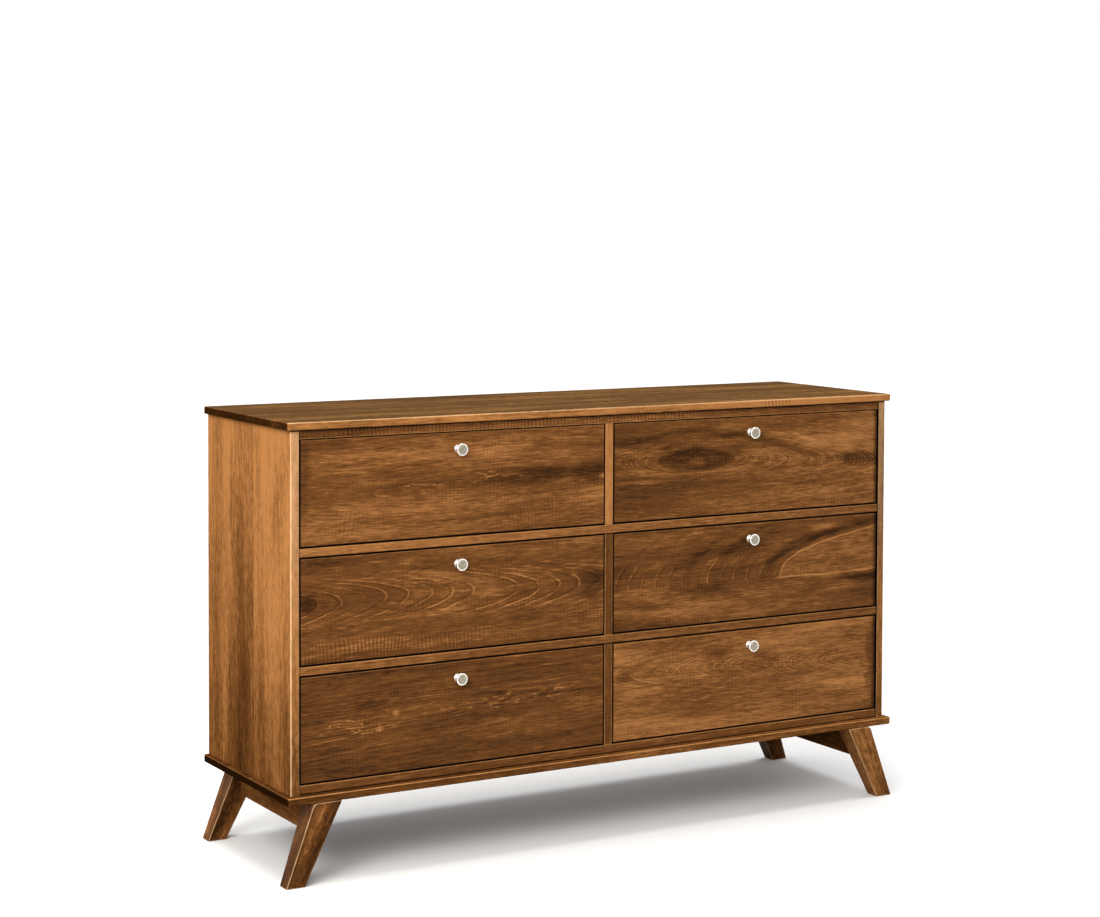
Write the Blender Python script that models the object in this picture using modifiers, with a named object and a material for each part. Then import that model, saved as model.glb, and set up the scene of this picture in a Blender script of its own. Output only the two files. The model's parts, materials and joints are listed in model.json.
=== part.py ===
"""Six-drawer dresser in stained maple, built as a cabinet maker builds it.

The case stands on a base board with four splayed, tapered legs and two aprons. Its rails and dust
boards are housed in the side panels, and the inset drawers have dovetailed solid wood boxes.
Metres, +Z up. The origin is on the floor, under the middle of the whole; the fronts face -Y.
"""

import math

import bmesh
import bpy

# Case
CASE_WIDTH = 1.501
CASE_DEPTH = 0.430
CASE_HEIGHT = 0.737
PANEL_THICKNESS = 0.019
PANEL_OUTER_RADIUS = 0.003
PANEL_INNER_RADIUS = 0.0015
COLUMNS = 2
ROWS = 3

# Top board
TOP_THICKNESS = 0.016
TOP_SIDE_OVERHANG = 0.010
TOP_FRONT_OVERHANG = 0.008
TOP_CORNER_RADIUS = 0.004
TOP_EDGE_RADIUS = 0.003

# Base board
BASE_THICKNESS = 0.016
BASE_SIDE_PROJECTION = 0.0125
BASE_FRONT_PROJECTION = 0.0155
BASE_CORNER_RADIUS = 0.006
BASE_EDGE_RADIUS = 0.0025

# Legs and aprons
LEG_HEIGHT = 0.167
LEG_TOP_WIDTH = 0.062
LEG_FOOT_WIDTH = 0.042
LEG_TOP_DEPTH = 0.050
LEG_FOOT_DEPTH = 0.034
LEG_TOP_INSET = 0.058
LEG_SPLAY = 0.062
LEG_SETBACK = 0.001
LEG_CORNER_RADIUS = 0.009
LEG_CORNER_STEPS = 5
LEG_EDGE_RADIUS = 0.002
LEG_TENON_RADIUS = 0.011
LEG_TENON_LENGTH = 0.012
TENON_STEPS = 24
APRON_HEIGHT = 0.071
APRON_THICKNESS = 0.019
APRON_INSET = 0.067
APRON_EDGE_RADIUS = 0.0015

# Rails, partition and dust boards
RAIL_HEIGHT = 0.019
RAIL_DEPTH = 0.045
RAIL_RECESS = 0.003
RAIL_EDGE_RADIUS = 0.001
PARTITION_THICKNESS = 0.0195
DUST_BOARD_THICKNESS = 0.012
HOUSING_DEPTH = 0.006
TENON_THICKNESS = 0.008
TENON_SETBACK = 0.012
BACK_THICKNESS = 0.006
RABBET_WIDTH = 0.009

# Drawers
DRAWER_REVEAL = 0.0025
FRONT_THICKNESS = 0.019
FRONT_EDGE_RADIUS = 0.0012
SIDE_THICKNESS = 0.012
SIDE_TOP_DROP = 0.014
BACK_TOP_DROP = 0.006
BEHIND_DRAWER = 0.012
TAIL_COUNT = 5
TAIL_SLOPE = 1.0 / 7.0
PIN_WIDTH = 0.010
FRONT_TAIL_LENGTH = 0.013
FIRST_TAIL_HEIGHT = 0.022
LAST_TAIL_DROP = 0.006
BOTTOM_THICKNESS = 0.006
BOTTOM_HEIGHT = 0.010
GROOVE_DEPTH = 0.006

# Knobs
KNOB_DROP = 0.034
KNOB_RADIUS = 0.0132
KNOB_PROJECTION = 0.022
KNOB_HEAD_THICKNESS = 0.006
KNOB_NECK_RADIUS = 0.0034
KNOB_FOOT_RADIUS = 0.0085
KNOB_DISH = 0.0009
KNOB_STEPS = 24

# Half section of the knob. Dish: shares of the radius and of the dish's depth. Head: shares of the
# radius and of the head's thickness. Stem: how far from neck to foot, and share of the stem's length.
DISH_SECTION = ((0.0, 1.0), (0.70, 0.75))
HEAD_SECTION = ((0.88, 0.0), (0.97, 0.10), (1.0, 0.30), (0.96, 0.55), (0.80, 0.78))
STEM_SECTION = ((0.30, 1.0), (0.0, 0.80), (0.0, 0.45), (0.30, 0.18), (1.0, 0.08))
SCREW_RADIUS = 0.002
SCREW_HEAD_RADIUS = 0.0045
SCREW_HEAD_THICKNESS = 0.002
SCREW_CLEARANCE = 0.0005

# Clearances
FIT = 0.0003
RUNNING_CLEARANCE = 0.0003
CUT_OVERRUN = 0.004

# Rounding and meshing
EASE_SEGMENTS = 2
PANEL_EDGE_SEGMENTS = 3
RIM_SEGMENTS = 3
CORNER_SEGMENTS = 4
SHARP_ANGLE = math.radians(40)
SMOOTH_ANGLE = math.radians(35)
FLAT_ANGLE = math.radians(0.5)
WELD_DISTANCE = 0.00001

# Collections
PARTS = "dresser"
CUTTERS = "cutters"

# Worked out from the sizes above
BASE_WIDTH = CASE_WIDTH + 2 * BASE_SIDE_PROJECTION
BASE_DEPTH = CASE_DEPTH + BASE_FRONT_PROJECTION
TOP_WIDTH = CASE_WIDTH + 2 * TOP_SIDE_OVERHANG
KNOB_REACH = max(0.0, KNOB_PROJECTION - RAIL_RECESS - BASE_FRONT_PROJECTION)
BASE_FRONT = (KNOB_REACH - BASE_DEPTH) / 2
BASE_MIDDLE = BASE_FRONT + BASE_DEPTH / 2
CASE_FRONT = BASE_FRONT + BASE_FRONT_PROJECTION
CASE_BACK = CASE_FRONT + CASE_DEPTH
CASE_BOTTOM = LEG_HEIGHT + BASE_THICKNESS
CASE_TOP = CASE_BOTTOM + CASE_HEIGHT
INNER_HALF = CASE_WIDTH / 2 - PANEL_THICKNESS
FACE_PLANE = CASE_FRONT + RAIL_RECESS
RAIL_BACK = FACE_PLANE + RAIL_DEPTH
BACK_FACE = CASE_BACK - BACK_THICKNESS
OPENING_HEIGHT = (CASE_HEIGHT - (ROWS + 1) * RAIL_HEIGHT) / ROWS
OPENING_WIDTH = (2 * INNER_HALF - (COLUMNS - 1) * PARTITION_THICKNESS) / COLUMNS
ROW_PITCH = OPENING_HEIGHT + RAIL_HEIGHT
FRONT_WIDTH = OPENING_WIDTH - 2 * DRAWER_REVEAL
FRONT_HEIGHT = OPENING_HEIGHT - 2 * DRAWER_REVEAL
DRAWER_LENGTH = BACK_FACE - FIT - BEHIND_DRAWER - FACE_PLANE
SIDE_BOTTOM = RUNNING_CLEARANCE
SIDE_TOP = DRAWER_REVEAL + FRONT_HEIGHT - SIDE_TOP_DROP
BOX_INNER_HALF = FRONT_WIDTH / 2 - SIDE_THICKNESS
BOTTOM_LOW = SIDE_BOTTOM + BOTTOM_HEIGHT
BACK_LOW = BOTTOM_LOW + BOTTOM_THICKNESS + FIT
BACK_HIGH = SIDE_TOP - BACK_TOP_DROP

# Colours are linear, roughness and metallic value follow
FINISHES = {
    "stained_maple": ((0.235, 0.105, 0.036), 0.38, 0.0),
    "drawer_maple": ((0.150, 0.066, 0.024), 0.40, 0.0),
    "clear_maple": ((0.560, 0.400, 0.235), 0.45, 0.0),
    "birch_ply": ((0.520, 0.365, 0.200), 0.55, 0.0),
    "satin_nickel": ((0.600, 0.580, 0.540), 0.30, 1.0),
}

ROW_NAMES = ("bottom", "middle", "top")
COLUMN_NAMES = ("left", "right")


def clear_scene():
    """Remove what the scene holds."""
    for old in list(bpy.data.objects):
        bpy.data.objects.remove(old, do_unlink=True)


def make_collection(name):
    """Add a collection to the scene."""
    bpy.context.scene.collection.children.link(bpy.data.collections.new(name))


def link(item, collection):
    """Put an object in the named collection."""
    bpy.data.collections[collection].objects.link(item)


def make_material(name, finish):
    """Give one piece its own material in the named finish."""
    colour, roughness, metallic = FINISHES[finish]
    material = bpy.data.materials.new(name + "_" + finish)
    material.use_nodes = True
    shader = material.node_tree.nodes["Principled BSDF"]
    shader.inputs["Base Color"].default_value = (*colour, 1.0)
    shader.inputs["Roughness"].default_value = roughness
    shader.inputs["Metallic"].default_value = metallic
    return material


def place(name, mesh, location, rotation=(0, 0, 0)):
    """Put a mesh in the parts collection as a named object."""
    piece = bpy.data.objects.new(name, mesh)
    piece.location = location
    piece.rotation_euler = rotation
    link(piece, PARTS)
    return piece


def make_cutter(piece):
    """Turn a piece into a cutting or joining guide that is not part of the model."""
    bpy.data.collections[PARTS].objects.unlink(piece)
    link(piece, CUTTERS)
    piece.hide_render = True
    piece.display_type = "WIRE"
    return piece


def paint(piece, finish):
    """Assign a finish to a piece."""
    piece.data.materials.clear()
    piece.data.materials.append(make_material(piece.name, finish))
    return piece


def edges_where(bm, test):
    """List the edges whose two ends both pass the test."""
    return [edge for edge in bm.edges if all(test(vertex.co) for vertex in edge.verts)]


def block(name, low, high, rounds=()):
    """Make a rectangular board between two corners.

    Each round is a test, a radius and a number of segments. It rounds the edges whose two ends pass
    the test, which is given their places about the middle of the board.
    """
    size = [top - bottom for bottom, top in zip(low, high)]
    centre = [(top + bottom) / 2 for bottom, top in zip(low, high)]
    bm = bmesh.new()
    bmesh.ops.create_cube(bm, size=1.0)
    bmesh.ops.scale(bm, vec=size, verts=bm.verts)
    for test, radius, segments in rounds:
        edges = edges_where(bm, test)
        bmesh.ops.bevel(bm, geom=edges, offset=radius, segments=segments, profile=0.5, affect="EDGES")
    mesh = bpy.data.meshes.new(name)
    bm.to_mesh(mesh)
    bm.free()
    return place(name, mesh, centre)


def outline_board(name, outline, thickness, location, rotation):
    """Make a board from a flat outline, drawn as a filled curve and given its thickness."""
    curve = bpy.data.curves.new(name, "CURVE")
    curve.dimensions = "2D"
    curve.fill_mode = "BOTH"
    curve.extrude = thickness / 2
    spline = curve.splines.new("POLY")
    spline.points.add(len(outline) - 1)
    for point, (x, y) in zip(spline.points, outline):
        point.co = (x, y, 0, 1)
    spline.use_cyclic_u = True
    drawn = bpy.data.objects.new(name, curve)
    link(drawn, PARTS)
    mesh = baked_mesh(drawn)
    bpy.data.objects.remove(drawn, do_unlink=True)
    bm = bmesh.new()
    bm.from_mesh(mesh)
    bmesh.ops.remove_doubles(bm, verts=bm.verts, dist=WELD_DISTANCE)
    bmesh.ops.dissolve_limit(bm, angle_limit=FLAT_ANGLE, verts=bm.verts, edges=bm.edges)
    bmesh.ops.recalc_face_normals(bm, faces=bm.faces)
    bm.to_mesh(mesh)
    bm.free()
    return place(name, mesh, location, rotation)


def baked_mesh(piece):
    """Read a piece's finished shape as a new mesh."""
    bpy.context.view_layer.update()
    graph = bpy.context.evaluated_depsgraph_get()
    return bpy.data.meshes.new_from_object(piece.evaluated_get(graph), depsgraph=graph)


def boolean(piece, other, operation="DIFFERENCE"):
    """Cut a guide from a piece, or join it on."""
    modifier = piece.modifiers.new(other.name, "BOOLEAN")
    modifier.operation = operation
    modifier.solver = "EXACT"
    modifier.object = make_cutter(other)


def ease_edges(piece, radius, segments=EASE_SEGMENTS):
    """Round every sharp edge."""
    modifier = piece.modifiers.new("eased_edges", "BEVEL")
    modifier.width = radius
    modifier.segments = segments
    modifier.limit_method = "ANGLE"
    modifier.angle_limit = SHARP_ANGLE


def bottom_board_of(row):
    """Height of the running surface under a row of drawers."""
    return CASE_BOTTOM + RAIL_HEIGHT + row * ROW_PITCH


def eased_board(name, low, high, corner_radius, edge_radius):
    """Make a board with rounded upright corners and eased rims."""
    size = [top - bottom for bottom, top in zip(low, high)]
    centre = [(top + bottom) / 2 for bottom, top in zip(low, high)]
    bm = bmesh.new()
    bmesh.ops.create_cube(bm, size=1.0)
    bmesh.ops.scale(bm, vec=size, verts=bm.verts)
    upright = [edge for edge in bm.edges if abs(edge.verts[0].co.z - edge.verts[1].co.z) > size[2] / 2]
    bmesh.ops.bevel(bm, geom=upright, offset=corner_radius, segments=CORNER_SEGMENTS, profile=0.5,
                    affect="EDGES")
    mesh = bpy.data.meshes.new(name)
    bm.to_mesh(mesh)
    bm.free()
    piece = place(name, mesh, centre)
    ease_edges(piece, edge_radius, RIM_SEGMENTS)
    return piece


def make_top_board():
    """The top board overhangs the case at the front and the sides."""
    low = (-TOP_WIDTH / 2, CASE_FRONT - TOP_FRONT_OVERHANG, CASE_TOP)
    high = (TOP_WIDTH / 2, CASE_BACK, CASE_TOP + TOP_THICKNESS)
    paint(eased_board("top_board", low, high, TOP_CORNER_RADIUS, TOP_EDGE_RADIUS), "stained_maple")


def make_base_board():
    """The base board carries the case, and has a bore for the tenon of each leg."""
    low = (-BASE_WIDTH / 2, BASE_FRONT, LEG_HEIGHT)
    high = (BASE_WIDTH / 2, CASE_BACK, CASE_BOTTOM)
    board = eased_board("base_board", low, high, BASE_CORNER_RADIUS, BASE_EDGE_RADIUS)
    for side in (-1, 1):
        for end in (-1, 1):
            boolean(board, round_bar("base_board_bore", LEG_TENON_RADIUS + FIT, LEG_HEIGHT - CUT_OVERRUN,
                                     LEG_HEIGHT + LEG_TENON_LENGTH + FIT, leg_tenon_axis(side, end)))
    paint(board, "stained_maple")


def round_bar(name, radius, low, high, axis):
    """Make an upright round bar between two heights."""
    bm = bmesh.new()
    bmesh.ops.create_cone(bm, cap_ends=True, segments=TENON_STEPS, radius1=radius, radius2=radius,
                          depth=high - low)
    mesh = bpy.data.meshes.new(name)
    bm.to_mesh(mesh)
    bm.free()
    return place(name, mesh, (axis[0], axis[1], (low + high) / 2))


def leg_outer_y(end):
    """Outer face of the legs at the front (-1) or the back (1)."""
    return BASE_MIDDLE + end * (BASE_DEPTH / 2 - LEG_SETBACK)


def leg_tenon_axis(side, end):
    """Place of a leg's tenon, at the middle of the leg's top."""
    x = side * (BASE_WIDTH / 2 - LEG_TOP_INSET - LEG_TOP_WIDTH / 2)
    return x, leg_outer_y(end) - end * LEG_TOP_DEPTH / 2


def leg_depth(height):
    """Depth of a leg at a height above the floor."""
    return LEG_FOOT_DEPTH + (LEG_TOP_DEPTH - LEG_FOOT_DEPTH) * height / LEG_HEIGHT


def leg_outline(side):
    """Front outline of a leg in x and z, with its outer top corner rounded."""
    top = LEG_HEIGHT - FIT
    outer_top = BASE_WIDTH / 2 - LEG_TOP_INSET
    outer_foot = outer_top + LEG_SPLAY
    lean = math.atan2(LEG_SPLAY, top)
    turn = math.pi / 2 + lean
    reach = LEG_CORNER_RADIUS * math.tan((math.pi - turn) / 2)
    centre_x = outer_top - reach
    centre_z = top - LEG_CORNER_RADIUS
    start = math.pi / 2
    sweep = math.pi - turn
    arc = []
    for step in range(LEG_CORNER_STEPS + 1):
        angle = start - sweep * step / LEG_CORNER_STEPS
        arc.append((centre_x + LEG_CORNER_RADIUS * math.cos(angle),
                    centre_z + LEG_CORNER_RADIUS * math.sin(angle)))
    points = [(outer_top - LEG_TOP_WIDTH, top)] + arc
    points += [(outer_foot, 0.0), (outer_foot - LEG_FOOT_WIDTH, 0.0)]
    return [(side * x, z) for x, z in points]


def make_leg(name, side, end):
    """A leg is tapered both ways and splayed outwards. Side is -1 left or 1 right, end -1 is front."""
    axis = leg_tenon_axis(side, end)
    leg = outline_board(name, leg_outline(side), LEG_TOP_DEPTH, (0, axis[1], 0), (math.pi / 2, 0, 0))
    for vertex in leg.data.vertices:
        if vertex.co.z * end > 0:
            vertex.co.z = end * (leg_depth(vertex.co.y) - LEG_TOP_DEPTH / 2)
    ease_edges(leg, LEG_EDGE_RADIUS)
    boolean(leg, round_bar(name + "_tenon", LEG_TENON_RADIUS, LEG_HEIGHT - CUT_OVERRUN,
                           LEG_HEIGHT + LEG_TENON_LENGTH, axis), "UNION")
    paint(leg, "stained_maple")


def make_apron(name, side):
    """An apron runs from the front leg to the back leg under the base board."""
    top = LEG_HEIGHT - FIT
    low = LEG_HEIGHT - APRON_HEIGHT
    half_top = BASE_DEPTH / 2 - LEG_SETBACK - leg_depth(top) - FIT
    half_low = BASE_DEPTH / 2 - LEG_SETBACK - leg_depth(low) - FIT
    outline = [(-half_low, low), (half_low, low), (half_top, top), (-half_top, top)]
    centre_x = side * (BASE_WIDTH / 2 - APRON_INSET - APRON_THICKNESS / 2)
    apron = outline_board(name, outline, APRON_THICKNESS, (centre_x, BASE_MIDDLE, 0),
                          (math.pi / 2, 0, math.pi / 2))
    ease_edges(apron, APRON_EDGE_RADIUS)
    paint(apron, "stained_maple")


def cut_housings(panel, side):
    """Cut the grooves for dust boards and tenons, and the rabbet for the back."""
    inner = side * INNER_HALF
    deep = side * (INNER_HALF + HOUSING_DEPTH)
    overrun = side * (INNER_HALF - CUT_OVERRUN)
    front = FACE_PLANE + TENON_SETBACK - FIT
    for row in range(ROWS):
        high = bottom_board_of(row)
        low = high - DUST_BOARD_THICKNESS
        xs = sorted((overrun, deep))
        boolean(panel, block(panel.name + "_housing", (xs[0], front, low - FIT),
                             (xs[1], CASE_BACK + CUT_OVERRUN, high + FIT)))
    tenon_low, tenon_high = tenon_heights(CASE_TOP)
    for start, end in ((FACE_PLANE + TENON_SETBACK, RAIL_BACK), back_rail_depths()):
        xs = sorted((overrun, deep))
        boolean(panel, block(panel.name + "_mortise", (xs[0], start - FIT, tenon_low - FIT),
                             (xs[1], end + FIT, tenon_high + FIT)))
    xs = sorted((overrun, inner + side * RABBET_WIDTH))
    boolean(panel, block(panel.name + "_rabbet", (xs[0], BACK_FACE - FIT, CASE_BOTTOM - CUT_OVERRUN),
                         (xs[1], CASE_BACK + CUT_OVERRUN, CASE_TOP + CUT_OVERRUN)))


def tenon_heights(rail_top):
    """Lower and upper height of a tenon, whose underside lines up with that of the dust board."""
    low = rail_top - DUST_BOARD_THICKNESS
    return low, low + TENON_THICKNESS


def back_rail_depths():
    """Front and back of the top back rail."""
    back = BACK_FACE - FIT
    return back - RAIL_DEPTH, back


def make_side_panel(name, side):
    """A side panel is an edge-glued board with eased front corners."""
    xs = sorted((side * CASE_WIDTH / 2, side * INNER_HALF))
    rounds = (
        (lambda co: co.y < 0 and co.x * side > 0, PANEL_OUTER_RADIUS, PANEL_EDGE_SEGMENTS),
        (lambda co: co.y < 0 and co.x * side < 0, PANEL_INNER_RADIUS, EASE_SEGMENTS),
    )
    panel = block(name, (xs[0], CASE_FRONT, CASE_BOTTOM + FIT), (xs[1], CASE_BACK, CASE_TOP - FIT), rounds)
    cut_housings(panel, side)
    paint(panel, "stained_maple")


def make_rail(name, rail_top, front, back):
    """A rail runs across the case and has a stub tenon at each end."""
    low = max(rail_top - RAIL_HEIGHT, CASE_BOTTOM + FIT)
    high = min(rail_top, CASE_TOP - FIT)
    shoulder = INNER_HALF - FIT
    rail = block(name, (-shoulder, front, low), (shoulder, back, high), rail_rounds())
    tenon_low, tenon_high = tenon_heights(rail_top)
    reach = INNER_HALF + HOUSING_DEPTH - FIT
    tenon_front = max(front, FACE_PLANE + TENON_SETBACK)
    boolean(rail, block(name + "_tenons", (-reach, tenon_front, tenon_low),
                        (reach, back, tenon_high)), "UNION")
    paint(rail, "stained_maple")


def rail_rounds():
    """Ease the two long front edges of a rail."""
    return ((lambda co: co.y < 0 and co.z > 0, RAIL_EDGE_RADIUS, EASE_SEGMENTS),
            (lambda co: co.y < 0 and co.z < 0, RAIL_EDGE_RADIUS, EASE_SEGMENTS))


def make_rails():
    """Four rails cross the face, and one more ties the top at the back."""
    names = ("bottom_rail", "lower_rail", "upper_rail", "top_rail")
    for level, name in enumerate(names):
        make_rail(name, bottom_board_of(level), FACE_PLANE, RAIL_BACK)
    make_rail("top_back_rail", CASE_TOP, *back_rail_depths())


def make_dust_boards():
    """A dust board behind each lower rail carries a row of drawers."""
    reach = INNER_HALF + HOUSING_DEPTH - FIT
    for row, row_name in enumerate(ROW_NAMES):
        high = bottom_board_of(row)
        board = block(row_name + "_dust_board", (-reach, RAIL_BACK + FIT, high - DUST_BOARD_THICKNESS),
                      (reach, BACK_FACE - FIT, high))
        paint(board, "birch_ply")


def partition_outline(row):
    """Side outline of a partition, stepped behind the rails, in y and z."""
    low = bottom_board_of(row) + FIT
    under_rail = bottom_board_of(row) + OPENING_HEIGHT - FIT
    back = BACK_FACE - FIT
    behind_rail = RAIL_BACK + FIT
    outline = [(FACE_PLANE, low), (back, low)]
    if row < ROWS - 1:
        outline += [(back, bottom_board_of(row + 1) - DUST_BOARD_THICKNESS - FIT)]
        outline += [(behind_rail, bottom_board_of(row + 1) - DUST_BOARD_THICKNESS - FIT)]
    else:
        back_rail_front = back_rail_depths()[0] - FIT
        outline += [(back, under_rail), (back_rail_front, under_rail)]
        outline += [(back_rail_front, CASE_TOP - FIT), (behind_rail, CASE_TOP - FIT)]
    return outline + [(behind_rail, under_rail), (FACE_PLANE, under_rail)]


def make_partitions():
    """A partition stands between the rails and parts the two columns."""
    for row, row_name in enumerate(ROW_NAMES):
        piece = outline_board(row_name + "_partition", partition_outline(row), PARTITION_THICKNESS,
                              (0, 0, 0), (math.pi / 2, 0, math.pi / 2))
        ease_edges(piece, RAIL_EDGE_RADIUS)
        paint(piece, "stained_maple")


def make_back_panel():
    """The back panel lies in the rabbets of the side panels."""
    half = INNER_HALF + RABBET_WIDTH - FIT
    paint(block("back_panel", (-half, BACK_FACE, CASE_BOTTOM + FIT),
                (half, CASE_BACK, CASE_TOP - FIT)), "birch_ply")


def tail_run(low, high, shoulder, tip, clearance, overrun=0.0):
    """Zigzag of dovetails between two heights, from the shoulder out to the tip, in y and z.

    The clearance grows the tails all round, and the overrun carries them on past their tips.
    """
    pitch = (high - low) / TAIL_COUNT
    wide = (pitch - PIN_WIDTH) / 2
    narrow = wide - abs(tip - shoulder) * TAIL_SLOPE
    past = clearance + overrun
    wide += past * TAIL_SLOPE
    end = tip + math.copysign(past, tip - shoulder)
    grow = clearance * math.hypot(1.0, TAIL_SLOPE)
    run = []
    for index in range(TAIL_COUNT):
        centre = low + pitch * (index + 0.5)
        run += [(shoulder, centre - narrow - grow), (end, centre - wide - grow),
                (end, centre + wide + grow), (shoulder, centre + narrow + grow)]
    return run


def front_tails(clearance=0.0):
    """Tails that enter the drawer front."""
    shoulder = FRONT_THICKNESS + FIT
    tip = FRONT_THICKNESS - FRONT_TAIL_LENGTH
    return tail_run(FIRST_TAIL_HEIGHT, SIDE_TOP - LAST_TAIL_DROP, shoulder, tip, clearance)


def back_tails(clearance=0.0, overrun=0.0):
    """Tails that pass through the drawer back."""
    shoulder = DRAWER_LENGTH - SIDE_THICKNESS - FIT
    return tail_run(BACK_LOW, BACK_HIGH, shoulder, DRAWER_LENGTH, clearance, overrun)


def side_outline():
    """Outline of a drawer side in y and z, with tails at both ends."""
    shoulder = FRONT_THICKNESS + FIT
    back_shoulder = DRAWER_LENGTH - SIDE_THICKNESS - FIT
    outline = [(shoulder, SIDE_BOTTOM), (DRAWER_LENGTH, SIDE_BOTTOM), (DRAWER_LENGTH, BACK_LOW - FIT),
               (back_shoulder, BACK_LOW - FIT)]
    outline += back_tails()
    outline += [(back_shoulder, BACK_HIGH + FIT), (DRAWER_LENGTH, BACK_HIGH + FIT),
                (DRAWER_LENGTH, SIDE_TOP), (shoulder, SIDE_TOP)]
    return outline + front_tails()[::-1]


def comb_cutter(name, tails, base, side):
    """Socket cutter: the grown tails on a strip that stays outside the piece that is cut."""
    outline = [(base, tails[0][1])] + tails + [(base, tails[-1][1])]
    inner = BOX_INNER_HALF - FIT
    outer = BOX_INNER_HALF + SIDE_THICKNESS + CUT_OVERRUN
    return outline_board(name, outline, outer - inner, (side * (inner + outer) / 2, 0, 0),
                         (math.pi / 2, 0, math.pi / 2))


def drawer_side(name, side):
    """A drawer side carries the tails and the groove for the bottom."""
    piece = outline_board(name, side_outline(), SIDE_THICKNESS,
                          (side * (BOX_INNER_HALF + SIDE_THICKNESS / 2), 0, 0),
                          (math.pi / 2, 0, math.pi / 2))
    xs = sorted((side * (BOX_INNER_HALF - CUT_OVERRUN), side * (BOX_INNER_HALF + GROOVE_DEPTH)))
    boolean(piece, block(name + "_groove", (xs[0], 0, BOTTOM_LOW - FIT),
                         (xs[1], DRAWER_LENGTH + CUT_OVERRUN, BOTTOM_LOW + BOTTOM_THICKNESS + FIT)))
    return piece


def drawer_front(name):
    """A drawer front has half-blind sockets, a groove for the bottom and a bore for the screw."""
    half = FRONT_WIDTH / 2
    rounds = ((lambda co: co.y < 0, FRONT_EDGE_RADIUS, EASE_SEGMENTS),)
    piece = block(name, (-half, 0, DRAWER_REVEAL), (half, FRONT_THICKNESS, DRAWER_REVEAL + FRONT_HEIGHT),
                  rounds)
    for side, side_name in ((-1, "left"), (1, "right")):
        boolean(piece, comb_cutter(name + "_sockets_" + side_name, front_tails(FIT),
                                   FRONT_THICKNESS + CUT_OVERRUN, side))
    reach = BOX_INNER_HALF + GROOVE_DEPTH
    boolean(piece, block(name + "_groove", (-reach, FRONT_THICKNESS - GROOVE_DEPTH, BOTTOM_LOW - FIT),
                         (reach, FRONT_THICKNESS + CUT_OVERRUN, BOTTOM_LOW + BOTTOM_THICKNESS + FIT)))
    boolean(piece, screw_bore(name + "_bore"))
    return piece


def screw_bore(name):
    """Round cutter for the screw that holds the knob."""
    bm = bmesh.new()
    radius = SCREW_RADIUS + SCREW_CLEARANCE
    bmesh.ops.create_cone(bm, cap_ends=True, segments=KNOB_STEPS, radius1=radius, radius2=radius,
                          depth=FRONT_THICKNESS + 2 * CUT_OVERRUN)
    mesh = bpy.data.meshes.new(name)
    bm.to_mesh(mesh)
    bm.free()
    return place(name, mesh, (0, FRONT_THICKNESS / 2, knob_height()), (math.pi / 2, 0, 0))


def knob_height():
    """Height of the knob's axis above the running surface."""
    return DRAWER_REVEAL + FRONT_HEIGHT - KNOB_DROP


def drawer_back(name):
    """A drawer back carries the pins and stands on the bottom."""
    half = FRONT_WIDTH / 2
    piece = block(name, (-half, DRAWER_LENGTH - SIDE_THICKNESS, BACK_LOW), (half, DRAWER_LENGTH, BACK_HIGH))
    for side, side_name in ((-1, "left"), (1, "right")):
        boolean(piece, comb_cutter(name + "_sockets_" + side_name, back_tails(FIT, CUT_OVERRUN),
                                   DRAWER_LENGTH - SIDE_THICKNESS - CUT_OVERRUN, side))
    return piece


def drawer_bottom(name):
    """A drawer bottom slides in the grooves and runs under the back."""
    reach = BOX_INNER_HALF + GROOVE_DEPTH - FIT
    return block(name, (-reach, FRONT_THICKNESS - GROOVE_DEPTH + FIT, BOTTOM_LOW),
                 (reach, DRAWER_LENGTH, BOTTOM_LOW + BOTTOM_THICKNESS))


def knob_profile():
    """Half section of the knob and its screw, as radius and distance out from the drawer front."""
    stem = KNOB_PROJECTION - KNOB_HEAD_THICKNESS
    flare = KNOB_FOOT_RADIUS - KNOB_NECK_RADIUS
    screw_end = -(FRONT_THICKNESS + FIT)
    section = [(share * KNOB_RADIUS, KNOB_PROJECTION - drop * KNOB_DISH) for share, drop in DISH_SECTION]
    section += [(share * KNOB_RADIUS, KNOB_PROJECTION - drop * KNOB_HEAD_THICKNESS)
                for share, drop in HEAD_SECTION]
    section += [(KNOB_NECK_RADIUS + share * flare, out * stem) for share, out in STEM_SECTION]
    return section + [
        (KNOB_FOOT_RADIUS, FIT),
        (SCREW_RADIUS, FIT),
        (SCREW_RADIUS, screw_end),
        (SCREW_HEAD_RADIUS, screw_end),
        (SCREW_HEAD_RADIUS, screw_end - SCREW_HEAD_THICKNESS),
        (0.0, screw_end - SCREW_HEAD_THICKNESS),
    ]


def drawer_knob(name):
    """A turned knob with its screw."""
    bm = bmesh.new()
    profile = [bm.verts.new((radius, 0, out)) for radius, out in knob_profile()]
    for first, second in zip(profile, profile[1:]):
        bm.edges.new((first, second))
    mesh = bpy.data.meshes.new(name)
    bm.to_mesh(mesh)
    bm.free()
    piece = place(name, mesh, (0, 0, knob_height()), (math.pi / 2, 0, 0))
    screw = piece.modifiers.new("turned", "SCREW")
    screw.steps = KNOB_STEPS
    screw.render_steps = KNOB_STEPS
    screw.use_merge_vertices = True
    screw.merge_threshold = WELD_DISTANCE
    screw.use_smooth_shade = True
    return piece


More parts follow.
